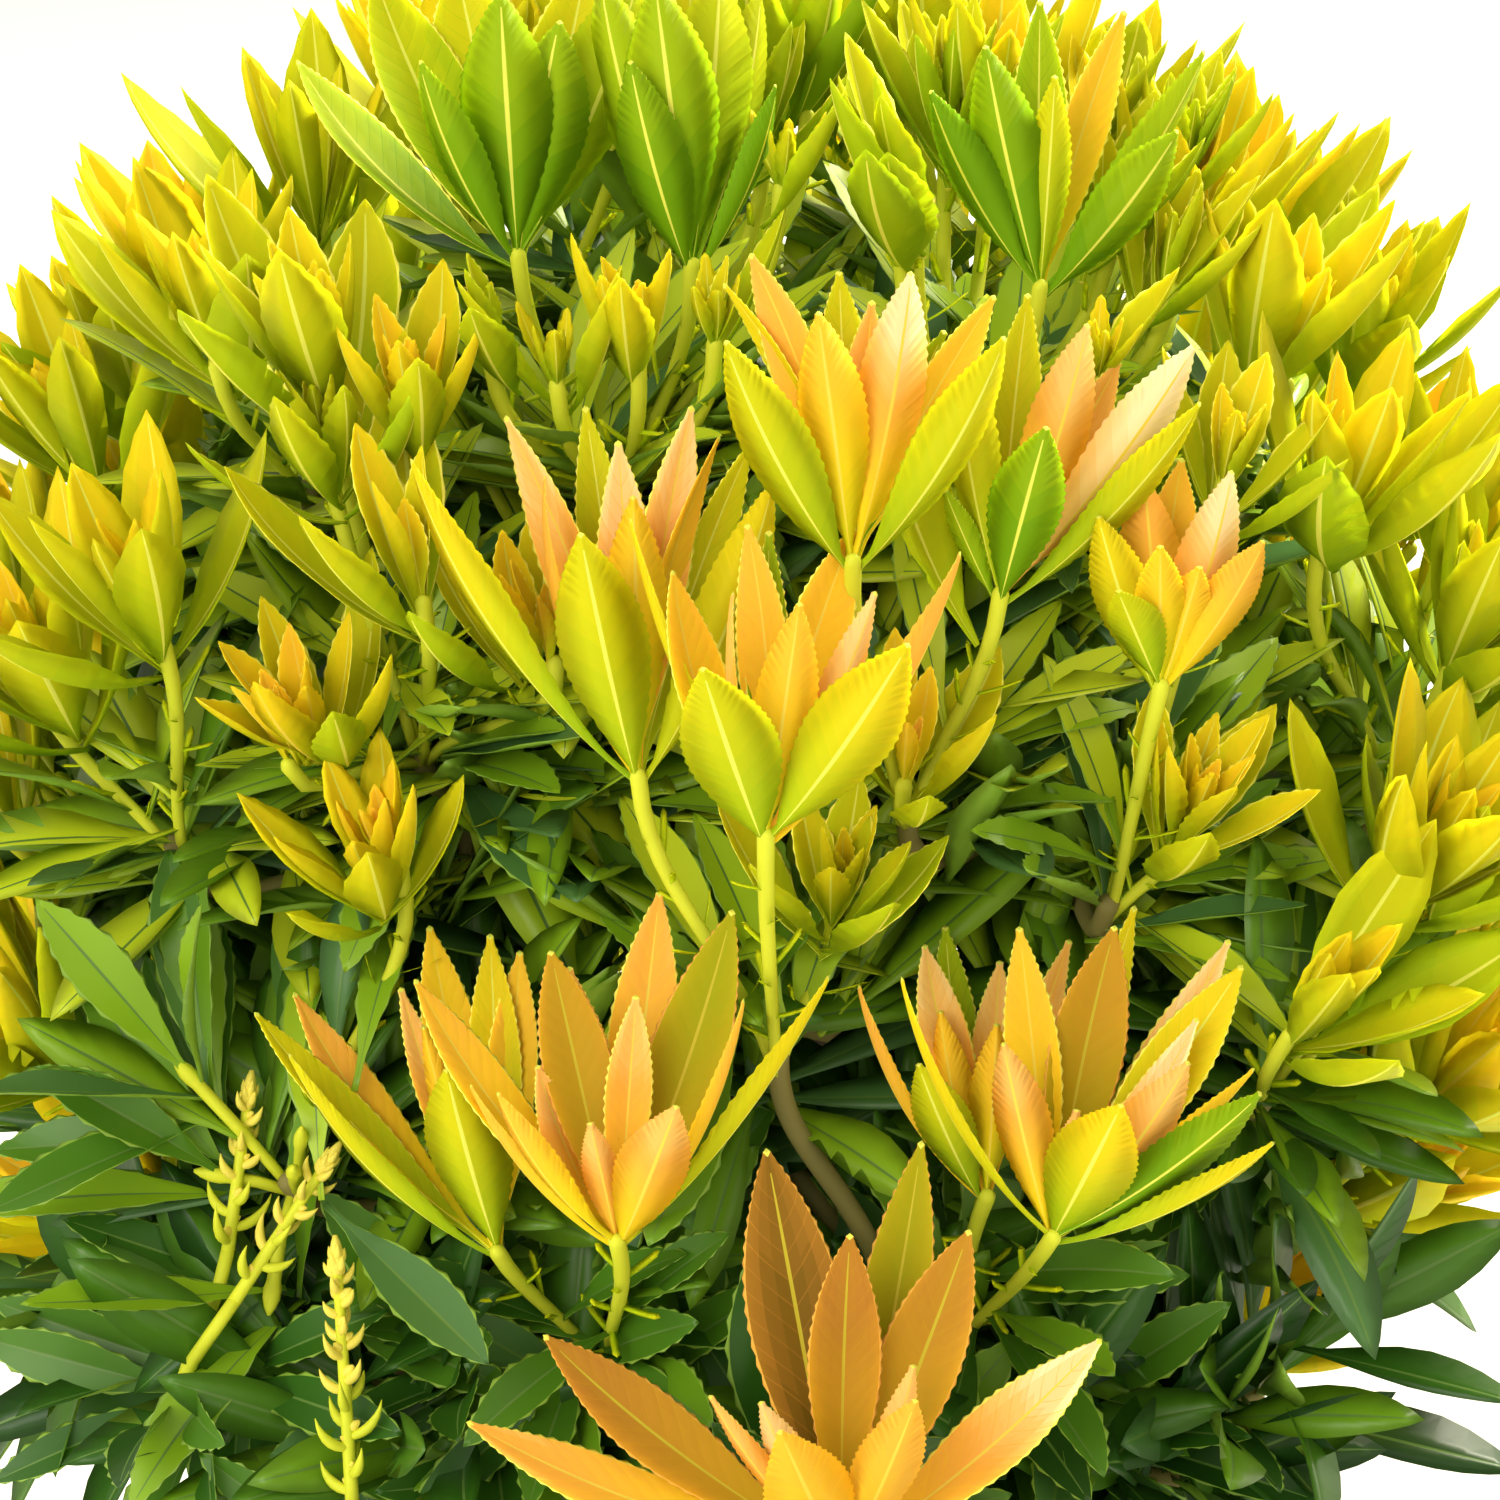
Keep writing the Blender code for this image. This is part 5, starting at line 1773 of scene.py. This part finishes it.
def growLeaves(masses):
    # Young leaves keep off the ones that the front shows, and old leaves keep off all young ones
    def gather(kind):
        return [marks for mass in masses for marks in mass[kind]]

    spikes, shown = gather("spikeMarks"), []
    for kind, reach in (("marks", "hide"), ("stemMarks", "stemHide"), ("spikeMarks", "spikeHide")):
        places = viewPlaces(np.concatenate(gather(kind)))
        shown.append(np.column_stack([places, np.full(len(places), room[reach])]))
    rules = {"tree": growTree(gather("marks") + spikes), "shown": np.concatenate(shown)}
    for mass in masses:
        for job in mass["youngToAdd"]:
            addRosette(mass, rules, *job)
    rules["tree"] = growTree(gather("marks") + spikes)
    for mass in masses:
        for *job, tube in mass["oldToAdd"]:
            grown = addOldLeaves(mass, rules, *job)
            if tube is not None and grown < room["fewest"]:
                line, radii, slot = mass["tubes"][tube]
                mass["tubes"][tube] = (*budEnd(line[:3], radii[:3]), slot)


spikeShape = {
    "radii": (0.0015, 0.0011),
    "steps": 14,
    "marks": 12,
    "nodeDepth": 0.002,
    "from": 0.002,
    "spacing": (0.0034, 0.0014),
    "spacingSpread": (0.7, 1.3),
    "hornLength": (0.0110, 0.0050),
    "hornSpread": (0.75, 1.2),
    "hornRadius": (0.00095, 0.0007),
    "hornSteps": 7,
    "hornTurn": 1.35,
    "hornReach": (0.72, 0.85),
    "hornPoint": 0.00008,
    "budShare": 0.7,
    "budSpread": (0.7, 1.2),
    "budLift": 0.0012,
    "budLean": 0.7,
    "budLength": 0.0030,
    "budRadius": 0.0010,
    "budSteps": 6,
    "tipLength": 0.0080,
    "tipOverlap": 0.001,
    "tipRadius": 0.0016,
    "tipScales": 9,
    "scaleLength": 0.0042,
    "scaleReach": 0.55,
    "scaleLean": 0.6,
    "yellowFrom": 0.45,
    "yellowSpread": 0.2,
}


def hornTube(root, out, up, length, radius, slot):
    # A fleshy bract that leaves the stem sideways and curls up
    turn, (outReach, upReach) = spikeShape["hornTurn"], spikeShape["hornReach"]
    line, radii = [], []
    for i in range(spikeShape["hornSteps"] + 1):
        t = i / spikeShape["hornSteps"]
        away, rise = length * outReach * math.sin(turn * t), length * upReach * (1 - math.cos(turn * t))
        line.append(root + out * away + up * rise)
        radii.append(radius * (0.8 + 0.5 * math.sin(math.pi * t)) * (1 - t ** 3) + spikeShape["hornPoint"])
    return line, radii, slot


def budTube(root, aim, length, radius):
    # A fat little bud, as a short tube with a round end
    steps = spikeShape["budSteps"]
    line = [root + aim * (length * i / steps) for i in range(steps + 1)]
    radii = [radius * (0.25 + 0.75 * math.sin(math.pi * (0.12 + 0.86 * i / steps))) for i in range(steps + 1)]
    return line, radii, budSlot


def growSpike(mass, foot, top, node, number):
    # A flower spike in bud: fleshy bracts that crowd and shorten towards a blunt yellow tip
    tubes, shape = mass["tubes"], spikeShape
    chance = random.Random(seeds["horns"] + number)
    away, upright = (node - mass["fork"]).normalized(), shootAxis(node)
    twig = bentLine(mass["fork"], node, away, upright)
    tubes.append((twig, taper(twig, shoots["twigRadius"], shoots["topRadius"]), barkSlot))
    planOldLeaves(mass, "spike", number, node, -away, upright, "oldNear")
    lean = (top - foot).normalized()
    length = (top - foot).length - shape["tipLength"]
    stalk = bentLine(node - upright * shape["nodeDepth"], foot, upright, lean)
    tubes.append((stalk, taper(stalk, shoots["radius"], shape["radii"][0]), stemSlot))
    line = [foot + lean * (length * i / shape["steps"]) for i in range(shape["steps"] + 1)]
    tubes.append((line, taper(line, *shape["radii"]), stemSlot))
    overlap = shape["tipOverlap"]
    tubes.append(budTube(line[-1] - lean * overlap, lean, shape["tipLength"] + overlap, shape["tipRadius"]))
    mass["spikeMarks"].append(markPoints(foot.lerp(top, i / shape["marks"]) for i in range(shape["marks"] + 1)))
    across = lean.orthogonal().normalized()
    gone, turn = shape["from"], chance.uniform(0, aboutATurn)
    while gone < length:
        share = gone / length
        root = foot + lean * gone
        out = Matrix.Rotation(turn, 3, lean) @ across
        yellow = share + chance.uniform(-shape["yellowSpread"], shape["yellowSpread"]) > shape["yellowFrom"]
        long = between(shape["hornLength"], share) * chance.uniform(*shape["hornSpread"])
        radius = between(shape["hornRadius"], share)
        tubes.append(hornTube(root, out, lean, long, radius, budSlot if yellow else stemSlot))
        if chance.random() < shape["budShare"]:
            size = chance.uniform(*shape["budSpread"])
            aim = (out + lean * shape["budLean"]).normalized()
            start = root + lean * shape["budLift"]
            tubes.append(budTube(start, aim, shape["budLength"] * size, shape["budRadius"] * size))
        turn += goldenAngle
        gone += between(shape["spacing"], share) * chance.uniform(*shape["spacingSpread"])
    for i in range(shape["tipScales"]):
        root = line[-1] + lean * (shape["tipLength"] * shape["scaleReach"] * i / shape["tipScales"])
        out = Matrix.Rotation(goldenAngle * i, 3, lean) @ across * shape["scaleLean"]
        tubes.append(hornTube(root, out, lean, shape["scaleLength"], shape["hornRadius"][1], budSlot))


def makeTwigMesh(name, tubes, materials):
    points, loops, totals, slots = [], [], [], []
    offset = 0
    for line, radii, slot in tubes:
        verts, faces, sizes = tubeArrays(line, radii, shoots["sides"])
        points.append(verts)
        loops.append(faces + offset)
        totals.append(sizes)
        slots.append(np.full(len(sizes), slot))
        offset += len(verts)
    return meshFrom(name, *map(np.concatenate, (points, loops, totals, slots)), materials)


def countTriangles(mesh):
    return sum(len(face.vertices) - 2 for face in mesh.polygons)


makeStudio()
makePot()
makeCompost()

barkMaterial = noisyMaterial("bark", **trunk["finish"])
masses = layOutMasses()
makeBark("trunk_bark", trunkLine(), trunk, barkMaterial, "trunk")
for mass in masses[1:]:
    boughName = f"bough_{mass['name']}"
    makeBark(f"{boughName}_bark", mass["limb"], boughs, barkMaterial, boughName)
print("trunk and boughs made")

leafMaterials = makeLeafMaterials()
twigMaterials = [plainMaterial(name, colour, **finish) for name, colour, finish in twigFinishes]
for mass in masses:
    growTwigs(mass)
growLeaves(masses)
leafCount, triangleCount = 0, 0
for mass in masses:
    node = f"foliage_{mass['name']}"
    mesh = leafMesh(f"{node}_leaves", mass["groups"], leafMaterials)
    newPiece(f"{node}_leaves", mesh, "foliage", node)
    twigMesh = makeTwigMesh(f"{node}_twigs", mass["tubes"], twigMaterials)
    newPiece(f"{node}_twigs", twigMesh, "bark")
    leaves, triangles = sum(map(len, mass["groups"].values())), countTriangles(mesh)
    leafCount += leaves
    triangleCount += triangles + countTriangles(twigMesh)
    print(f"{node}: {leaves} leaves and bracts, {triangles} triangles")
print(f"{leafCount} leaves and bracts and {triangleCount} triangles in all")
